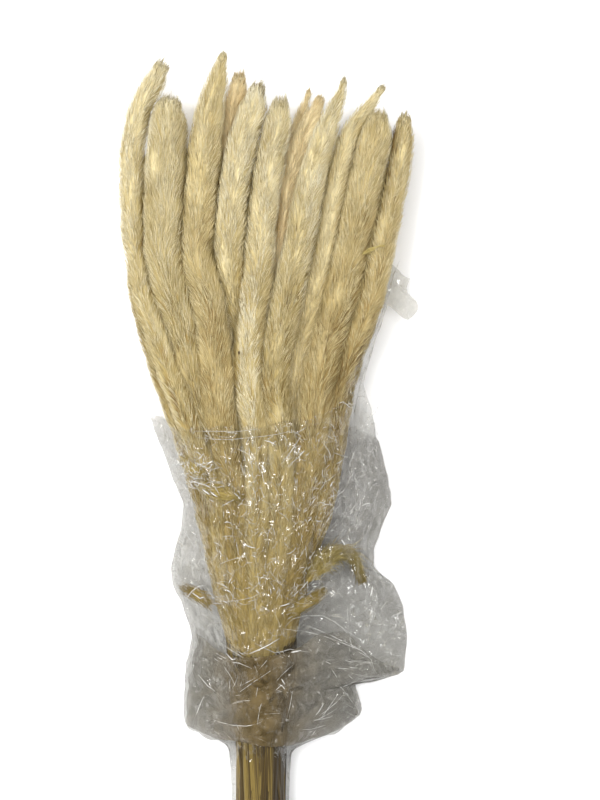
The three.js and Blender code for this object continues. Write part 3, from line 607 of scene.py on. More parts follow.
for number in range(len(PLUMES)):
    name = f"stem_{number + 1:02d}"
    rng = np.random.default_rng(300 + number)
    form = measured(name, STEM_STATIONS, STEM_SIDES, reach=0.012)
    girth = form["walls"].mean(axis=1, keepdims=True)
    turn = np.arange(STEM_SIDES) / STEM_SIDES * 2 * np.pi
    along = form["length"][:, None]
    # Joints: a narrow ring that stands out, with a shallow waist above it.
    joints = rng.uniform(0.03, 0.09) + np.arange(6) * rng.uniform(0.075, 0.1)
    near = along - joints
    ring = 0.45 * np.exp(-((near / RING_LONG) ** 2))
    waist = 0.2 * np.exp(-(((near - WAIST_ABOVE) / WAIST_LONG) ** 2))
    swelling = (ring - waist).sum(axis=1)
    ribs = 0.10 * np.cos(RIBS * turn + 0.6 * smooth_noise(rng, (STEM_STATIONS, 1), (12, 0)))
    dents = 0.10 * smooth_noise(rng, (STEM_STATIONS, STEM_SIDES), (3, 2))
    reach = 0.95 * (form["walls"] + girth) / 2 + (swelling[:, None] + ribs + dents) * MM
    reach[-1] *= 0.8
    middle, ahead = form["middle"], form["ahead"]
    skin = middle[:, None] + reach[..., None] * form["across"]
    bevel = 0.14 * middle[:1, None] + 0.86 * skin[:1] - 0.5 * MM * ahead[:1, None]
    root = 0.9 * skin[-1:] + 0.1 * middle[-1] + STEM_ROOT * ahead[-1]
    rings = np.concatenate([bevel, skin, root]).reshape(-1, 3)
    ends = np.stack([middle[0] - 0.2 * MM * ahead[0], rings[-STEM_SIDES:].mean(axis=0)])
    quads, caps = closed_tube(STEM_STATIONS + 2, STEM_SIDES)
    cut = np.arange(len(caps)) < STEM_SIDES
    dark = np.clip(0.15 + 0.2 * smooth_noise(rng, (STEM_STATIONS + 2, STEM_SIDES), (9, 4)), 0, 0.7)
    around = np.tile(turn / (2 * np.pi) * STEM_GIRTH, STEM_STATIONS + 2)
    up_to = np.repeat(np.concatenate([[0], form["length"], [along[-1, 0] + STEM_ROOT]]), STEM_SIDES)
    piece = new_piece(
        f"{name}_cane",
        np.concatenate([rings, ends]),
        [quads, caps],
        [cane, pith],
        values={"age": np.concatenate([dark.ravel(), [0, 0]])},
        uv=np.concatenate([np.c_[around, up_to + number * 0.7], np.zeros((2, 2))]),
        slots=[np.zeros(len(quads)), cut],
    )
    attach(piece, "root")
    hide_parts(name)

# ---- Side spray ----
# A small tuft that grew lower on one stem: olive hair on a thin stalk, folded down when the film was
# wrapped over it.

SPRAY_STATIONS, SPRAY_TURNS = 40, 16
SPRAY_HAIRS = 3400
SPRAY_LIE = 0.004  # a radian round the spray, on the map of the hair's lie

olive_hair = hair_material("olive_pampas_hair", "#5f4e22", "#857238", "#c8b166", "#e6d68f", "#a08a4c")
rng = np.random.default_rng(500)
form = measured("side_spray", SPRAY_STATIONS, SPRAY_TURNS, axis=0, reach=0.02)
length = form["length"][-1]
slimmer = np.interp(form["length"] / length, [0, 0.5, 1], [1, 0.9, 0.4])
form["walls"] = eased(form["walls"], 2) * slimmer[:, None]
along = np.repeat(form["length"], SPRAY_TURNS)
turn = np.tile(np.arange(SPRAY_TURNS) / SPRAY_TURNS * 2 * np.pi, SPRAY_STATIONS)
core = np.concatenate([on_skin(form, along, turn, -0.5 * MM)[0], form["middle"][[0, -1]]])
core_uv = np.concatenate([np.c_[turn * SPRAY_LIE, along], np.zeros((2, 2))])
roots = length * rng.uniform(0, 0.95, SPRAY_HAIRS)
turns = rng.uniform(0, 2 * np.pi, SPRAY_HAIRS)
lengths = np.minimum(rng.uniform(12, 30, SPRAY_HAIRS) * MM, length - roots + 3 * MM)
lean = rng.normal(0, 0.35, SPRAY_HAIRS)
stand = rng.gamma(2.0, 0.8, SPRAY_HAIRS) * (1.1 - 0.7 * roots / length) * MM
lifts = [np.full(SPRAY_HAIRS, -1.2 * MM), 1.0 * stand, 3.0 * stand]
widths = rng.uniform(0.3, 0.55, SPRAY_HAIRS) * MM
*hairs, t = strands(form, roots, turns, lengths, lean, lifts, widths)
own = np.clip(0.85 + 0.2 * rng.normal(size=SPRAY_HAIRS), 0, 1)
shade = np.repeat(own, HAIR_POINTS) + 0.2 * (t - 0.5)
hair_uv = np.repeat(np.c_[turns * SPRAY_LIE, roots], HAIR_POINTS, axis=0)
hair_uv[:, 1] += t * 0.01
# The spray's core is drawn darker than its hairs too: painted shade in the gaps between them.
parts = (core, np.full(len(core), 0.3), core_uv, (SPRAY_STATIONS, SPRAY_TURNS), hairs, shade, hair_uv)
piece = hairy_piece("side_spray_hair", olive_hair, *parts, lowest=0.3 * MM)
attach(piece, "root")
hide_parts("side_spray")

# ---- Film sleeve ----
# Clear film, 0.04 mm thick, was wrapped loosely round the plumes and gathered tight round the stems.
# It is crumpled all over, its loose sides lie flat on the table, and it rises highest on the right.

FILM_COLUMNS = 320
FILM_ROWS = 150
FILM_THICK = 0.12 * MM  # drawn thicker than it is, so that its two faces stay apart
EDGE_HEIGHT = 7.5 * MM  # of the loose sides' folded edges above the table
CLOSED_TO = 0.1035  # below this Y the film goes right round the bunch
TIGHT_TO = -0.155  # below this Y it is drawn in on the stalks
CRUMPLE_PITCH = 0.034
FILM_IOR = 1.7  # brighter than plain film, as several layers are
MOST_MIRROR = 0.12  # crumpled film has no long grazing mirror along its edges
FACETS = ((0.011, 1.0, 0.0, 0.55), (0.004, 0.36, 0.6, 0.9))  # pitch, width beside length, turn, tilt
WEBS = ((0.019, 0.012), (0.008, 0.02))  # pitch, and the line's width beside it


def slice_cuts(triangles, y):
    """The slice at y as straight cuts: (n, 2, 2) end points in X and Z."""
    start, end = triangles, np.roll(triangles, -1, axis=1)
    side = (start[..., 1] >= y) != (end[..., 1] >= y)
    crossed = side.any(axis=1)
    start, end, side = start[crossed], end[crossed], side[crossed]
    share = (y - start[..., 1]) / np.where(side, end[..., 1] - start[..., 1], 1)
    points = start + share[..., None] * (end - start)
    pair = np.argsort(~side, axis=1, kind="stable")[:, :2, None]
    return np.take_along_axis(points, pair, axis=1)[..., [0, 2]]


def outermost(cuts, origin, angles):
    """How far each direction from origin runs to the last cut that it crosses; nan where it crosses none."""
    direction = np.stack([np.cos(angles), np.sin(angles)], axis=-1)[:, None]
    edge, offset = cuts[:, 1] - cuts[:, 0], cuts[:, 0] - origin
    det = direction[..., 0] * edge[:, 1] - direction[..., 1] * edge[:, 0]
    det = np.where(np.abs(det) < 1e-12, np.nan, det)
    distance = (offset[:, 0] * edge[:, 1] - offset[:, 1] * edge[:, 0]) / det
    share = (offset[:, 0] * direction[..., 1] - offset[:, 1] * direction[..., 0]) / det
    hits = (share >= -1e-6) & (share <= 1 + 1e-6) & (distance > 0)
    found = np.where(hits, distance, -1).max(axis=1)
    return np.where(found > 0, found, np.nan)


film_solid = solid_of("film_sleeve")
FILM_LOW, FILM_HIGH = film_solid[..., 1].min() + 0.3 * MM, film_solid[..., 1].max() - 0.3 * MM
levels = np.linspace(FILM_LOW, FILM_HIGH, 260)
cuts = [slice_cuts(film_solid, y) for y in levels]
low_x = np.array([cut[..., 0].min() for cut in cuts])
high_x = np.array([cut[..., 0].max() for cut in cuts])
high_z = np.array([cut[..., 1].max() for cut in cuts])
closed = levels < CLOSED_TO
last = np.flatnonzero(closed)[-1]
edge_plume = plume_forms["plume_01"]["middle"]  # above CLOSED_TO the left side follows this plume
fan_left = np.interp(levels, edge_plume[:, 1], edge_plume[:, 0])
low_x = np.where(closed, low_x, low_x[last] + fan_left - fan_left[last])
high_z = np.where(closed, high_z, high_z[last])
origin_x, half_x = (low_x + high_x) / 2, (high_x - low_x) / 2
film_turn = np.arange(FILM_COLUMNS) / FILM_COLUMNS * 2 * np.pi


def film_angle(half, top):
    """Each column's ray angle: that of the point at its turn on half an oval, tall above and low below."""
    rise = np.where(np.sin(film_turn) > 0, top - EDGE_HEIGHT, EDGE_HEIGHT)
    return np.arctan2(rise * np.sin(film_turn), half * np.cos(film_turn))


rays = film_angle(half_x[:, None], high_z[:, None])
film_walls = np.array([outermost(cut, (x, EDGE_HEIGHT), ray) for cut, x, ray in zip(cuts, origin_x, rays)])
# Where a column ends is the film's upper edge. Above it, its last reach is carried on.
there = np.isfinite(film_walls)
there[: last + 1] = True
film_top = levels[np.where(there.all(axis=0), len(levels), np.argmin(there, axis=0)) - 1]
for k in range(1, len(levels)):
    film_walls[k] = np.where(np.isfinite(film_walls[k]), film_walls[k], film_walls[k - 1])


def crumpled(x, y, seed, pitch):
    """Crumple height from 0 to 1: straight-sided waves in four directions, each bent by the ones before.

    A wave falls and rises on straight lines from 0 to 1, with sharp turns at the whole numbers.
    """
    rng = np.random.default_rng(seed)
    total, weights, bend = np.zeros_like(x), 0, np.zeros_like(x)
    for k in range(4):
        way = rng.uniform(0, np.pi)
        size = pitch / 1.55**k
        value = (x * np.cos(way) + y * np.sin(way)) / size + rng.uniform(0, 2) + 0.9 * bend
        wave = np.abs(np.mod(value, 2) - 1)
        bend = bend + wave
        total = total + wave / 1.35**k
        weights += 1 / 1.35**k
    return total / weights


def film_grid(row_y):
    """Points of the film's outer face at row_y (rows, columns), read off the measured slices."""
    place = np.clip((row_y - FILM_LOW) / (FILM_HIGH - FILM_LOW), 0, 1) * (len(levels) - 1)
    reach = read_grid(film_walls, place, np.arange(FILM_COLUMNS)[None, :])
    middle, half, top = (np.interp(row_y, levels, rows) for rows in (origin_x, half_x, high_z))
    angle = film_angle(half, top)
    return np.stack([middle + reach * np.cos(angle), row_y, EDGE_HEIGHT + reach * np.sin(angle)], axis=-1)


def outward_of(grid):
    """Unit normals of a grid that wraps round its columns: the cross product of its two directions."""
    around = np.roll(grid, -1, axis=1) - np.roll(grid, 1, axis=1)
    normal = eased(np.cross(around, np.gradient(grid, axis=0)), 2)
    normal = eased(normal, 2, axis=1, wraps=True)
    normal /= np.maximum(np.linalg.norm(normal, axis=-1, keepdims=True), 1e-12)
    flip = np.sign((normal[..., 0] * (grid[..., 0] - grid[..., 0].mean(axis=1, keepdims=True))).mean())
    return normal * flip


def sheet_piece(name, grid, outward, values, wraps=True):
    """A closed thin sheet of film: the grid, the grid drawn in by FILM_THICK, and the edges between them."""
    rows, columns = grid.shape[:2]
    index = np.arange(rows * columns).reshape(rows, columns)
    if wraps:
        index = np.concatenate([index, index[:, :1]], axis=1)
        rims = [index[0], index[-1][::-1]]
    else:
        rims = [np.concatenate([index[0], index[1:, -1], index[-1, -2::-1], index[-2:0:-1, 0], index[0, :1]])]
    outer = np.stack([index[:-1, :-1], index[:-1, 1:], index[1:, 1:], index[1:, :-1]], axis=-1).reshape(-1, 4)
    count = rows * columns
    edges = [np.stack([r[1:], r[:-1], r[:-1] + count, r[1:] + count], axis=-1) for r in rims]
    faces = np.concatenate([outer, outer[:, ::-1] + count, *edges])
    points = np.stack([grid, grid - outward * FILM_THICK]).reshape(-1, 3)
    doubled = {key: np.tile(value.ravel(), 2) for key, value in values.items()}
    return new_piece(name, points, [faces], [film], values=doubled)


rng = np.random.default_rng(700)
ragged = film_top + 1.2 * MM * smooth_noise(rng, (FILM_COLUMNS, 1), (2, 0)).ravel()
ragged = eased(ragged, 1, wraps=True)
share = np.interp(np.linspace(0, 1, FILM_ROWS), [0, 0.14, 1], [0, 0.28, 1])[:, None]  # few rows on the stems
skin = eased(film_grid(FILM_LOW + share * (ragged - FILM_LOW)), 1)
outward = outward_of(skin)
x, y, z = np.moveaxis(skin, -1, 0)
over = np.clip(z / 0.004, 0, 1)  # flat where it lies on the table
side = np.clip((np.abs(x) - 0.03) / 0.04, 0, 1)
height = (crumpled(x, y, 3, CRUMPLE_PITCH) - 0.25) * (2.4 + 2.2 * side) * MM
height = height * over * np.clip((y + 0.150) / 0.03, 0.25, 1)
skin = skin + outward * height[..., None]
tight = 2.5 * MM * np.clip((TIGHT_TO - skin[..., 1]) / 0.02, 0, 1)
skin = skin - outward * tight[..., None]
skin[..., 2] = np.maximum(skin[..., 2], 0.2 * MM)

film, tree = new_material("clear_film")
# Clear and glossy, a little grey where light crosses it, milky along folds and where layers lie together.
# Facets 11 mm across, and slim ones 4 by 11 mm, tilt at random and flash one by one. Fine creases run
# where facets meet.
place = add_node(tree, "TexCoord").outputs["Object"]
wander = add_node(tree, "TexNoise", {"Vector": place, "Scale": 60.0, "Detail": 2.0}).outputs["Color"]
shift = add_node(tree, "VectorMath", {0: wander, 1: (0.012,) * 3, 2: place}, operation="MULTIPLY_ADD")
tilts = []
for pitch, slim, turned, strength in FACETS:
    slimmed = {"Rotation": (0, 0, turned), "Scale": (1.0, slim, 1.0)}
    drawn = add_node(tree, "Mapping", {"Vector": shift, **slimmed})
    cells = add_node(tree, "TexVoronoi", {"Vector": drawn, "Scale": 1 / pitch, "Randomness": 1.0}).outputs
    inside = add_node(tree, "VectorMath", {0: drawn, 1: cells["Position"]}, operation="SUBTRACT")
    tilt = add_node(tree, "VectorMath", {0: cells["Color"], 1: (0.5,) * 3}, operation="SUBTRACT")
    slope = add_node(tree, "VectorMath", {0: inside, 1: tilt}, operation="DOT_PRODUCT")
    tilts.append(add_node(tree, "Math", {0: slope, 1: strength}, operation="MULTIPLY"))
facets = add_node(tree, "Math", dict(enumerate(tilts)), operation="ADD")
relief = add_node(tree, "Bump", {"Height": facets, "Strength": 1.0, "Distance": 1.0})
haze = add_node(tree, "Attribute", attribute_name="haze").outputs["Fac"]
mist = add_node(tree, "TexNoise", {"Vector": place, "Scale": 90.0, "Detail": 4.0})
veil = add_node(tree, "Math", {0: haze, 1: mist}, operation="MULTIPLY")
# Milky lines along the creases: partly the film's own whitening there, partly painted highlight.
for pitch, width in WEBS:
    web = add_node(tree, "TexVoronoi", {"Vector": shift, "Scale": 1 / pitch}, feature="DISTANCE_TO_EDGE")
    fall = {"From Min": 0.0, "From Max": width, "To Min": 1.0, "To Max": 0.0}
    crease = add_node(tree, "MapRange", {"Value": web, **fall})
    some = add_node(tree, "TexNoise", {"Vector": place, "Scale": 0.6 / pitch, "Detail": 1.0})
    shown = add_node(tree, "MapRange", {"Value": some, "From Min": 0.5, "From Max": 0.75, "To Max": 0.6})
    line = add_node(tree, "Math", {0: crease, 1: shown}, operation="MULTIPLY")
    veil = add_node(tree, "Math", {0: veil, 1: line}, operation="MAXIMUM")
# The front is drawn clear, over the plumes, and the back grey: painted shade, which greys the slack sides
# lying on the table.
layers_and_shade = add_node(tree, "Attribute", attribute_name="layers_and_shade").outputs["Fac"]
tints = {"A": (0.972, 0.972, 0.968, 1.0), "B": (0.790, 0.787, 0.778, 1.0)}
pane = add_node(tree, "Mix", {"Factor": layers_and_shade, **tints}, data_type="RGBA")
clear = add_node(tree, "BsdfTransparent", {"Color": pane})
# Painted: the stalks' brown and their shade, seen blurred through the gathered layers, in the milk's colour.
painted_stalk_shade = add_node(tree, "Attribute", attribute_name="painted_stalk_shade").outputs["Fac"]
cloud = add_node(tree, "Mix", {"Factor": painted_stalk_shade, "A": "#e4e0d2", "B": "#72613f"}, data_type="RGBA")
milk = add_node(tree, "BsdfPrincipled", {"Base Color": cloud, "Roughness": 0.35, "Normal": relief})
through = add_node(tree, "MixShader", {"Fac": veil, 1: clear, 2: milk})
mirror = add_node(tree, "BsdfAnisotropic", {"Color": "#ffffff", "Roughness": 0.18, "Normal": relief})
bounce = add_node(tree, "Fresnel", {"IOR": FILM_IOR})
behind = add_node(tree, "NewGeometry").outputs["Backfacing"]
front = add_node(tree, "Math", {0: 1.0, 1: behind}, operation="SUBTRACT")  # only the outer face mirrors
part = add_node(tree, "Math", {0: bounce, 1: MOST_MIRROR}, operation="MINIMUM")
outer = add_node(tree, "Math", {0: part, 1: front}, operation="MULTIPLY")
surface = add_node(tree, "MixShader", {"Fac": outer, 1: through, 2: mirror})
add_node(tree, "OutputMaterial", {"Surface": surface})

x, y, _ = np.moveaxis(skin, -1, 0)
haze = 0.004 + 0.03 * np.clip(-(y + 0.06) / 0.03, 0, 1) * np.clip((y - TIGHT_TO) / 0.01, 0, 1)
# Painted shade: the back of the sleeve, where it lies on the table, is drawn grey; in the skirt more layers
# add to it.
layers_and_shade = 0.05 + 0.95 * np.clip(0.5 - 1.5 * np.sin(film_turn), 0, 1)
layers_and_shade = layers_and_shade * np.interp(y, [-0.18, TIGHT_TO, 0.09, 0.125, 0.14], [0.1, 1, 1, 0.45, 0.1])
layers_and_shade = layers_and_shade * np.interp(x, [-0.07, -0.03], [0.62, 1])  # lighter grey on the left
wrap = sheet_piece("film_wrap", skin, outward, {"haze": haze, "layers_and_shade": layers_and_shade})
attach(wrap, "root")
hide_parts("film_sleeve")

# ---- Film skirt ----
# Below the plumes the same film was gathered in the hand: it lies there in more layers, stands out in
# slanting folds, and looks milky and brown over the stalks. The brown is painted: the stalks' colour and
# shade seen blurred through the layers.

SKIRT_ROWS = 56
HEM_Y, HEM_WAVE = -0.149, 2.0 * MM
BRIM_TURN = [0, 0.35, 0.8, 1.3, 1.7, 2.3, 2.8, np.pi]  # its upper edge, from the right side over to the left
BRIM_Y = np.array([-96, -82, -60, -58, -74, -79, -72, -66]) * MM
SLANT, FOLD_PITCH = 0.45, 0.019  # how far the folds run aslant, and how far apart

hem = HEM_Y + HEM_WAVE * np.sin(3 * film_turn + 1.0)
brim = eased(np.interp(film_turn, BRIM_TURN, BRIM_Y), 12)
skirt = eased(film_grid(hem + np.linspace(0, 1, SKIRT_ROWS)[:, None] * (brim - hem)), 1)
upper = slice(0, FILM_COLUMNS // 2 + 1)  # the upper half, from one folded side to the other
outward = outward_of(skirt)[:, upper]
skirt = skirt[:, upper]
x, y, z = np.moveaxis(skirt, -1, 0)
folds = np.abs(np.sin(np.pi * ((y - SLANT * x) / FOLD_PITCH + 0.8 * crumpled(x, y, 12, 0.05))))
loose = (1.0 + 4.5 * crumpled(x, y, 11, 0.041) + 2.4 * folds) * np.clip(z / 0.006, 0, 1)
inset = np.clip((np.abs(x - x.mean(axis=1, keepdims=True)) - 0.03) / 0.05, 0, 1)
skirt = skirt + outward * (loose - 6.0 * inset)[..., None] * MM
skirt[..., 2] = np.maximum(skirt[..., 2], 0.7 * MM)
x, y, _ = np.moveaxis(skirt, -1, 0)
middling = np.exp(-(((x + 0.004) / 0.034) ** 2))  # over the stalks the layers lie closest, and the stalks' shade is painted into them
layers = crumpled(x, y, 13, 0.024)  # some facets have another layer behind them
coats = {
    "haze": (0.14 + 0.95 * middling) * (0.55 + 0.9 * layers),
    "layers_and_shade": 0.55 + 0.6 * layers,
    "painted_stalk_shade": middling**0.3,
}
skirt_piece = sheet_piece("film_skirt", skirt, outward, coats, wraps=False)
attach(skirt_piece, "root")
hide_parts("film_sleeve")

# ---- Film flap ----
# A loose corner of the same film that sticks out past the plumes on the right: thin, milky, and torn
# to a wavy edge. Its lower left corner is FLAP_X, FLAP_Y.

FLAP_X, FLAP_Y, FLAP_Z = 0.088, 0.201, 0.022
FLAP_SIZE = 0.034
FLAP_WAVE = 4 * MM  # of its edges and its face
FLAP_DROP = 12 * MM  # from the plumes to its outer edge
FLAP_CRUMPLE = 14 * MM

rows, columns = np.linspace(0, 1, 40)[:, None], np.linspace(0, 1, 34)[None, :]
flap_x = FLAP_X + columns * (FLAP_SIZE - 0.014 * np.abs(rows - 0.45)) + FLAP_WAVE * np.sin(7 * rows)
flap_y = FLAP_Y + rows * FLAP_SIZE + FLAP_WAVE * np.sin(5 * columns) - 0.006 * columns
flap_z = FLAP_Z - FLAP_DROP * columns + FLAP_WAVE * crumpled(flap_x, flap_y, 21, FLAP_CRUMPLE)
flap = np.stack([flap_x, flap_y, flap_z], axis=-1)
straight_up = np.zeros_like(flap) + (0, 0, 1)
coats = {"haze": np.full(flap.shape[:2], 0.45), "layers_and_shade": np.full(flap.shape[:2], 0.2)}
corner = sheet_piece("film_flap", flap, straight_up, coats, wraps=False)
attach(corner, "root")
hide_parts("film_sleeve")

# ---- Film folds ----
# Sharp pinched folds in the film, pressed flat on themselves when it was wrapped: white hairlines that
# catch the light. Their white is partly the pressed film's own and partly a painted highlight.

CREASES = [  # in mm from the middle of the bunch, left to right: where the longest folds run
    [(-37, -35), (-24, -33), (-11, -30), (1, -24)],
    [(-49, -23), (-43, -32), (-35, -36)],
    [(-9, -13), (-3, -14), (5, -15)],
    [(15, -54), (21, -48), (31, -46), (45, -47), (55, -53), (65, -61), (77, -70)],
    [(15, -56), (31, -59), (47, -64), (63, -71), (77, -78), (85, -86), (87, -94)],
    [(27, -52), (51, -63), (69, -73), (81, -81)],
    [(-41, -79), (-27, -83), (-21, -83), (-11, -87)],
    [(-35, -71), (-27, -75), (-17, -79)],
    [(-9, -67), (7, -75), (19, -73), (35, -76)],
    [(-21, -107), (-9, -97), (3, -89), (14, -83)],
    [(-21, -102), (-8, -94), (5, -86)],
    [(5, -107), (11, -102), (17, -99)],
    [(16, -95), (17, -102), (21, -110)],
    [(21, -107), (19, -118), (16, -129)],
    [(-40, -134), (-27, -135), (-16, -134), (-8, -132)],
    [(-8, -132), (1, -127), (11, -124)],
    [(-58, -132), (-55, -124), (-51, -115)],
    [(-56, -99), (-48, -107), (-42, -110)],
    [(-7, -132), (-5, -119), (-2, -110)],
    [(12, 75), (19, 84), (25, 93), (28, 98)],
    [(17, 73), (25, 80), (31, 86)],
    [(-47, 71), (-43, 73), (-42, 76)],
    [(55, 122), (61, 124), (65, 121), (69, 117)],
    [(53, 84), (61, 81), (67, 79)],
    [(53, 56), (57, 52), (61, 56)],
    [(-56, 101), (-41, 101), (-21, 101), (-3, 103)],
    [(-55, 96), (-33, 94), (-13, 96), (7, 98), (19, 101)],
    [(-66, -37), (-61, -30), (-55, -25), (-48, -23)],
    [(59, -107), (67, -118), (73, -127)],
    [(-9, -153), (-7, -163), (-5, -169)],
]
# The widest folds, drawn wide and white as painted glints where the film flashes brightest: the same for
# them.
FLASHES = [
    [(-33, -77), (-27, -81), (-24, -80)],
    [(8, -99), (13, -102), (17, -108)],
    [(12, -96), (15, -101)],
    [(-62, -31), (-54, -35), (-50, -33)],
    [(60, 14), (63, 9)],
    [(-46, 75), (-41, 78)],
    [(-50, 55), (-44, 51)],
    [(20, -75), (28, -74)],
    [(86, -26), (84, -34)],
    [(-7, -153), (-5, -166)],
]
# Where the short folds crowd: x and y from and to in mm, how many knots of them, and how long they run
# beside the shortest. Where the film is gathered (GATHERED and longer), they run across.
CROWDS = [
    (-78, -40, 45, 104, 65, 1.0),
    (-35, 45, 40, 101, 55, 1.0),
    (45, 92, 20, 112, 55, 1.0),
    (-60, 40, -40, 40, 85, 1.0),
    (-58, 0, -140, -60, 3, 1.0),
    (0, 80, -140, -50, 6, 1.0),
    (-56, 10, -142, -68, 5, 3.2),
    (-10, 66, -140, -60, 6, 3.2),
    (60, 110, -95, -20, 17, 1.4),
    (-22, 16, -190, -145, 8, 1.0),
]
GATHERED = 3
FOLD_STEPS = 7
FOLD_SINK = 0.4 * MM  # a fold's foot lies this deep under the film's face
CHART_CELL = 2.0 * MM
CHART_CORNER, CHART_CELLS = np.array([-0.16, -0.24]), (170, 330)
chart = np.zeros(CHART_CELLS)  # the greatest Z in each cell, over the film and the hair
for sheet in (skin, skirt, *(skin_of(form) for form in plume_forms.values())):
    cells = np.floor((sheet[..., :2] - CHART_CORNER) / CHART_CELL).astype(int)
    np.maximum.at(chart, (cells[..., 0], cells[..., 1]), sheet[..., 2])
for _ in range(2):  # cells that no point fell in take their highest neighbour's Z
    empty = chart == 0
    for shift, axis in ((-1, 0), (1, 0), (-1, 1), (1, 1)):
        chart = np.where(empty, np.maximum(chart, np.roll(chart, shift, axis=axis)), chart)


def film_above(x, y):
    """The highest face near each (x, y), film or hair, read off the chart."""
    row, column = (x - CHART_CORNER[0]) / CHART_CELL, (y - CHART_CORNER[1]) / CHART_CELL
    return read_grid(chart, row - 0.5, column - 0.5)


def bar_faces(count, steps, sides):
    """Faces of closed bars whose points are numbered bar by bar, ring by ring: sides and two end caps."""
    index = np.arange(count * steps * sides).reshape(count, steps, sides)
    after = np.roll(index, -1, axis=2)
    quads = np.stack([index[:, :-1], after[:, :-1], after[:, 1:], index[:, 1:]], axis=-1).reshape(-1, 4)
    return [quads, np.concatenate([index[:, 0, ::-1], index[:, -1]])]


rng = np.random.default_rng(720)
paths, widths = [], []
t = np.linspace(0, 1, FOLD_STEPS)
for crease in CREASES + FLASHES:
    spots = np.array(crease) * MM
    knots = np.linspace(0, 1, len(spots))
    paths.append(np.stack([np.interp(t, knots, spots[:, k]) for k in (0, 1)], axis=1))
    widths.append(rng.uniform(0.3, 0.6) * (1 if crease in CREASES else 2.6) * MM)
for x0, x1, y0, y1, count, stretch in CROWDS:
    for _ in range(count):
        knot = np.array([rng.uniform(x0, x1), rng.uniform(y0, y1)]) * MM
        main = rng.uniform(0, 2 * np.pi) if stretch < GATHERED else rng.normal(0, 0.6)
        for _ in range(rng.integers(2, 6)):  # folds fan out from a knot
            spot = knot + rng.normal(0, 3.0, 2) * MM
            way, bend = main + rng.normal(0, 0.5), rng.normal(0, 0.4)
            run = (1.5 + rng.gamma(1.6, 2.6)) * stretch * MM
            angle = way + bend * (t - 0.5)
            step = np.stack([np.cos(angle), np.sin(angle)], axis=1) * run / FOLD_STEPS
            paths.append(spot + np.cumsum(step, axis=0))
            widths.append(rng.uniform(0.16, 0.44) * (2.4 if rng.random() < 0.06 else 1) * MM)  # a few are drawn wider, as painted glints
course = np.stack(paths)  # folds, steps, 2
foot = np.maximum(film_above(course[..., 0], course[..., 1]) - FOLD_SINK, 0.3 * MM)
ahead = np.gradient(course, axis=1)
ahead /= np.maximum(np.linalg.norm(ahead, axis=-1, keepdims=True), 1e-9)
flank = np.stack([-ahead[..., 1], ahead[..., 0], 0 * ahead[..., 0]], axis=-1)
taper = np.array(widths)[:, None, None] * np.sqrt(np.clip(np.sin(np.pi * (0.04 + 0.92 * t)), 0, 1))[:, None]
line = np.concatenate([course, foot[..., None]], axis=-1)
sides = np.stack([line - flank * taper / 2, line + flank * taper / 2, line + (0, 0, 1) * taper], axis=2)

fold, tree = new_material("pinched_film")
# Several layers pressed together: white and half see-through, with the film's own gloss. The white is partly
# their own and partly painted highlight.
place = add_node(tree, "TexCoord").outputs["Object"]
layers = add_node(tree, "TexNoise", {"Vector": place, "Scale": 400.0, "Detail": 2.0})
limits = {"From Min": 0.3, "From Max": 0.7, "To Min": 0.35, "To Max": 1.0}
amount = add_node(tree, "MapRange", {"Value": layers, **limits})
gap = add_node(tree, "BsdfTransparent", {"Color": (0.95, 0.95, 0.95, 1.0)})
white = add_node(tree, "BsdfPrincipled", {"Base Color": "#fbfaf6", "Roughness": 0.15})
mixed = add_node(tree, "MixShader", {"Fac": amount, 1: gap, 2: white})
add_node(tree, "OutputMaterial", {"Surface": mixed})
folds = new_piece("film_folds", sides.reshape(-1, 3), bar_faces(len(paths), FOLD_STEPS, 3), [fold])
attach(folds, "root")
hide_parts("film_sleeve")

# ---- Leaf sheaths ----
# Dry strips of leaf sheath still wrap the stalks: narrow, limp, papery ribbons that grew round them and
# lie along the bundle.

SHEATHS = 90
SHEATH_STEPS = 44
SHEATH_THICK = 0.3 * MM
SHEATH_SECTION = np.array([-0.5, -0.2, 0.2, 0.5])  # points across a strip, as shares of its width
SHEATH_SAG = np.array([0.16, 0.03, 0.03, 0.16])  # how far they fall back round the stalks
HULL_LOW = -0.36  # below this Y no strip is left on the stalks
AROUND = 72

sheath, tree = new_material("dried_leaf_sheath")
# Papery, with fine lengthwise veins; ochre to olive from strip to strip, and darker on the right: painted
# shade.
lie = add_node(tree, "UVMap", uv_map="lie")
lay = add_node(tree, "Mapping", {"Vector": lie, "Scale": (1600.0, 12.0, 1.0)})
veins = add_node(tree, "TexNoise", {"Vector": lay, "Scale": 1.0, "Detail": 3.0})
shade = add_node(tree, "Attribute", attribute_name="shade").outputs["Fac"]
strip_tone = add_node(tree, "Math", {0: shade, 1: veins}, operation="ADD")
tones = [(0.45, "#2c200a"), (0.95, "#50401b"), (1.0, "#7a6731")]
ramp = add_node(tree, "ValToRGB", {"Fac": strip_tone}, tones)
relief = add_node(tree, "Bump", {"Height": veins, "Strength": 0.5, "Distance": 0.0004})
paper = add_node(tree, "BsdfPrincipled", {"Base Color": ramp, "Roughness": 0.6, "Normal": relief})
add_node(tree, "OutputMaterial", {"Surface": paper})

# The bundle's hull: how far the outermost stalk reaches from the middle, at each height and angle.
all_stems = np.concatenate([solid_of(f"stem_{k + 1:02d}") for k in range(len(PLUMES))])
heights = np.linspace(HULL_LOW, all_stems[..., 1].max() - 4 * MM, 80)
slices = [slice_cuts(all_stems, y) for y in heights]
centre = np.array([(c.reshape(-1, 2).min(axis=0) + c.reshape(-1, 2).max(axis=0)) / 2 for c in slices])
angles = np.arange(AROUND) / AROUND * 2 * np.pi
hull = np.array([outermost(c, o, angles) for c, o in zip(slices, centre)])
hull = np.where(np.isfinite(hull), hull, np.nanmedian(hull, axis=1, keepdims=True))
for shift in (-2, -1, 1, 2):  # a strip bridges the grooves between stalks
    hull = np.maximum(hull, np.roll(hull, shift, axis=1) - 0.4 * MM * abs(shift))
hull = eased(hull, 3)

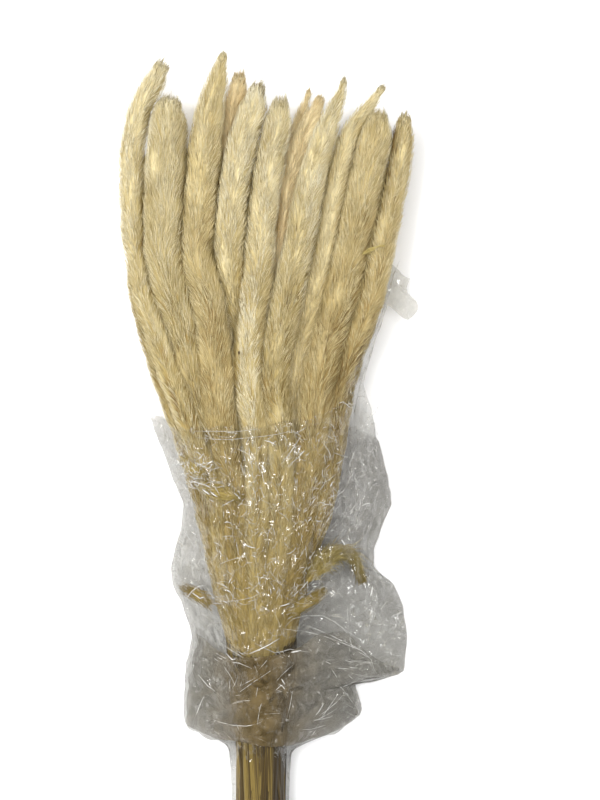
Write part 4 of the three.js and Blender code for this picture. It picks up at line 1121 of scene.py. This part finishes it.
rng = np.random.default_rng(800)
low = -0.20 - 0.15 * rng.beta(1.2, 1.6, SHEATHS)
high = rng.uniform(-0.085, -0.05, SHEATHS)
theta = rng.permutation(np.linspace(-0.35, np.pi + 0.35, SHEATHS)) + rng.normal(0, 0.06, SHEATHS)
width = rng.uniform(2.4, 4.8, SHEATHS) * MM
t = np.linspace(0, 1, SHEATH_STEPS)
y = low[:, None] + (high - low)[:, None] * t
drift = 0.16 * np.sin(2.2 * t * np.pi * rng.uniform(0.4, 1.0, (SHEATHS, 1)) + rng.uniform(0, 6, (SHEATHS, 1)))
turn = theta[:, None] + drift
row = np.clip((y - heights[0]) / (heights[-1] - heights[0]), 0, 1) * (len(heights) - 1)
reach = read_grid(hull, row, np.mod(turn / (2 * np.pi), 1) * AROUND)
spread = np.clip((y + 0.16) / 0.06, 0, 1) ** 2 * 7 * MM
lift = rng.uniform(0.3, 1.5, (SHEATHS, 1)) * MM
middle = np.stack([np.interp(y, heights, centre[:, k]) for k in (0, 1)], axis=-1)
radial = np.stack([np.cos(turn), np.sin(turn)], axis=-1)
spine = middle + radial * (reach + lift)[..., None] + np.stack([spread * np.cos(turn), 0 * spread], axis=-1)
tangent = np.stack([-np.sin(turn), np.cos(turn)], axis=-1)
torn = rng.uniform(0.03, 0.16, (SHEATHS, 1))
taper = np.clip(np.minimum(t / torn, (1 - t) / 0.08), 0.12, 1) ** 0.7 * width[:, None] * (1 + 0.7 * t)
taper = taper[..., None, None]
outer = spine[:, :, None] + taper * (
    tangent[:, :, None] * SHEATH_SECTION[:, None] - radial[:, :, None] * SHEATH_SAG[:, None]
)
inner = outer[:, :, ::-1] - radial[:, :, None] * SHEATH_THICK
section = np.concatenate([outer, inner], axis=2)  # strips, steps, 8 points, X and Z
level = np.broadcast_to(y[..., None], section.shape[:3])
points = np.stack([section[..., 0], level, section[..., 1]], axis=-1)
# Strips on the right-hand side are drawn darker: painted shade, as the light comes from the left.
tone = np.clip(rng.normal(0.36, 0.16, SHEATHS) - 0.3 * np.clip(np.cos(theta), -0.3, 1), 0, 1)
across = np.concatenate([SHEATH_SECTION, SHEATH_SECTION[::-1]])
flat = (across * width[:, None, None] + rng.uniform(0, 1, (SHEATHS, 1, 1))) * np.ones((1, SHEATH_STEPS, 1))
quads, caps = bar_faces(SHEATHS, SHEATH_STEPS, 8)
strips = new_piece(
    "leaf_sheaths",
    points.reshape(-1, 3),
    [np.roll(quads[:, ::-1], 1, axis=1), caps[:, ::-1]],  # a section's points run clockwise
    [sheath],
    values={"shade": np.repeat(tone, SHEATH_STEPS * 8)},
    uv=np.stack([flat.ravel(), points[..., 1].ravel()], axis=-1),
)
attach(strips, "root")

# ---- Loose tufts ----
# Short tufts of hair that broke off or bent over while the bunch was wrapped. Four are pressed flat
# under the film, and one lies loose on the plumes.

# Start and end in mm from the middle of the bunch, spread in mm, hairs, depth under the film in mm (below
# zero lies on top), and shade from dark to light.
TUFTS = [
    ((-44, -38), (-70, -28), 5.5, 90, 1.5, 0.25),
    ((20, -42), (46, -27), 4.0, 220, 2.0, 0.45),
    ((-50, 58), (-20, 48), 4.5, 200, 1.6, 0.6),
    ((-66, 77), (-48, 64), 3.5, 120, 1.6, 0.6),
    ((76, 241), (99, 248), 0.9, 90, -3.2, 0.85),
]
TUFT_STEPS = ((0.0, 0.5), (0.35, 1.0), (0.7, 0.9), (1.0, 0.1))  # place along a hair, and its thickness there
TUFT_POINTS = 3 * len(TUFT_STEPS)

rng = np.random.default_rng(900)
starts, finishes, depths, tones = [], [], [], []
for *way, spread, count, deep, tone in TUFTS:
    depths.append(rng.uniform(0.8, 2.2, count) * deep * MM)
    tones.append(np.clip(rng.normal(tone, 0.2, count), 0, 1))
    for ends, spot, wide in zip((starts, finishes), way, (spread, 0.8 * spread)):
        ends.append(np.array(spot) * MM + rng.normal(0, wide, (count, 2)) * MM * 0.6)
start, finish, depth = np.concatenate(starts), np.concatenate(finishes), np.concatenate(depths)
count = len(start)
bow = rng.normal(0, 1.6, (count, 2)) * MM
ahead = finish - start
ahead /= np.linalg.norm(ahead, axis=1, keepdims=True)
aside = np.column_stack([-ahead[:, 1], ahead[:, 0], np.zeros(count)])
steps = []
for share, thick in TUFT_STEPS:
    flat = start + (finish - start) * share + bow * 4 * share * (1 - share)
    middle = np.column_stack([flat, film_above(flat[:, 0], flat[:, 1]) - depth])
    flank = aside * 0.5 * thick * rng.uniform(0.3, 0.5) * MM
    steps.append(np.stack([middle - flank, middle + flank, middle + (0, 0, 0.3 * MM * thick)], axis=1))
hair_u = np.repeat(rng.uniform(0, 1, count), TUFT_POINTS)
hair_v = np.tile(np.repeat(np.arange(len(TUFT_STEPS)) * 0.01, 3), count)
tufts = new_piece(
    "loose_tufts_hair",
    np.stack(steps, axis=1).reshape(-1, 3),
    bar_faces(count, len(TUFT_STEPS), 3),
    [olive_hair],
    values={"shade": np.repeat(np.concatenate(tones), TUFT_POINTS)},
    uv=np.column_stack([hair_u, hair_v]),
)
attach(tufts, "root")

# ---- Seed husk ----
# One dark husk, the dry papery skin of a seed, pointed at both ends. It came loose and has stayed caught
# in the hair of a middle plume.

HUSK_Y, HUSK_TURN = 0.162, 2.25  # on the striped plume, left of its ridge
HUSK_LENGTH, HUSK_WIDTH = 3.0 * MM, 1.5 * MM
HUSK_RINGS, HUSK_SIDES = 9, 10

husk, tree = new_material("dry_seed_husk")
# Papery and dark brown, a little streaked along its length.
place = add_node(tree, "TexCoord").outputs["Object"]
streak = add_node(tree, "TexNoise", {"Vector": place, "Scale": 2500.0, "Detail": 2.0})
ramp = add_node(tree, "ValToRGB", {"Fac": streak}, [(0.0, "#2a2012"), (1.0, "#5a4526")])
shell = add_node(tree, "BsdfPrincipled", {"Base Color": ramp, "Roughness": 0.6})
add_node(tree, "OutputMaterial", {"Surface": shell})

along = np.linspace(0.06, 0.94, HUSK_RINGS)[:, None]
around = np.arange(HUSK_SIDES)[None, :] / HUSK_SIDES * 2 * np.pi
girth = 0.5 * HUSK_WIDTH * np.sin(np.pi * along) ** 0.7
ahead = (along - 0.5) * HUSK_LENGTH + 0 * around
rings = np.stack([girth * np.cos(around), ahead, girth * np.sin(around)], axis=-1)
tips = np.array([[0, -0.5 * HUSK_LENGTH, 0], [0, 0.5 * HUSK_LENGTH, 0]])
form = plume_forms[STRIPED]
caught = np.interp([HUSK_Y], form["middle"][:, 1], form["length"])
spot = on_skin(form, caught, np.array([HUSK_TURN]), 1.6 * MM)[0]
faces = [part[:, ::-1] for part in closed_tube(HUSK_RINGS, HUSK_SIDES)]
seed = new_piece("seed_husk", np.concatenate([rings.reshape(-1, 3), tips]) + spot, faces, [husk])
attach(seed, "root")
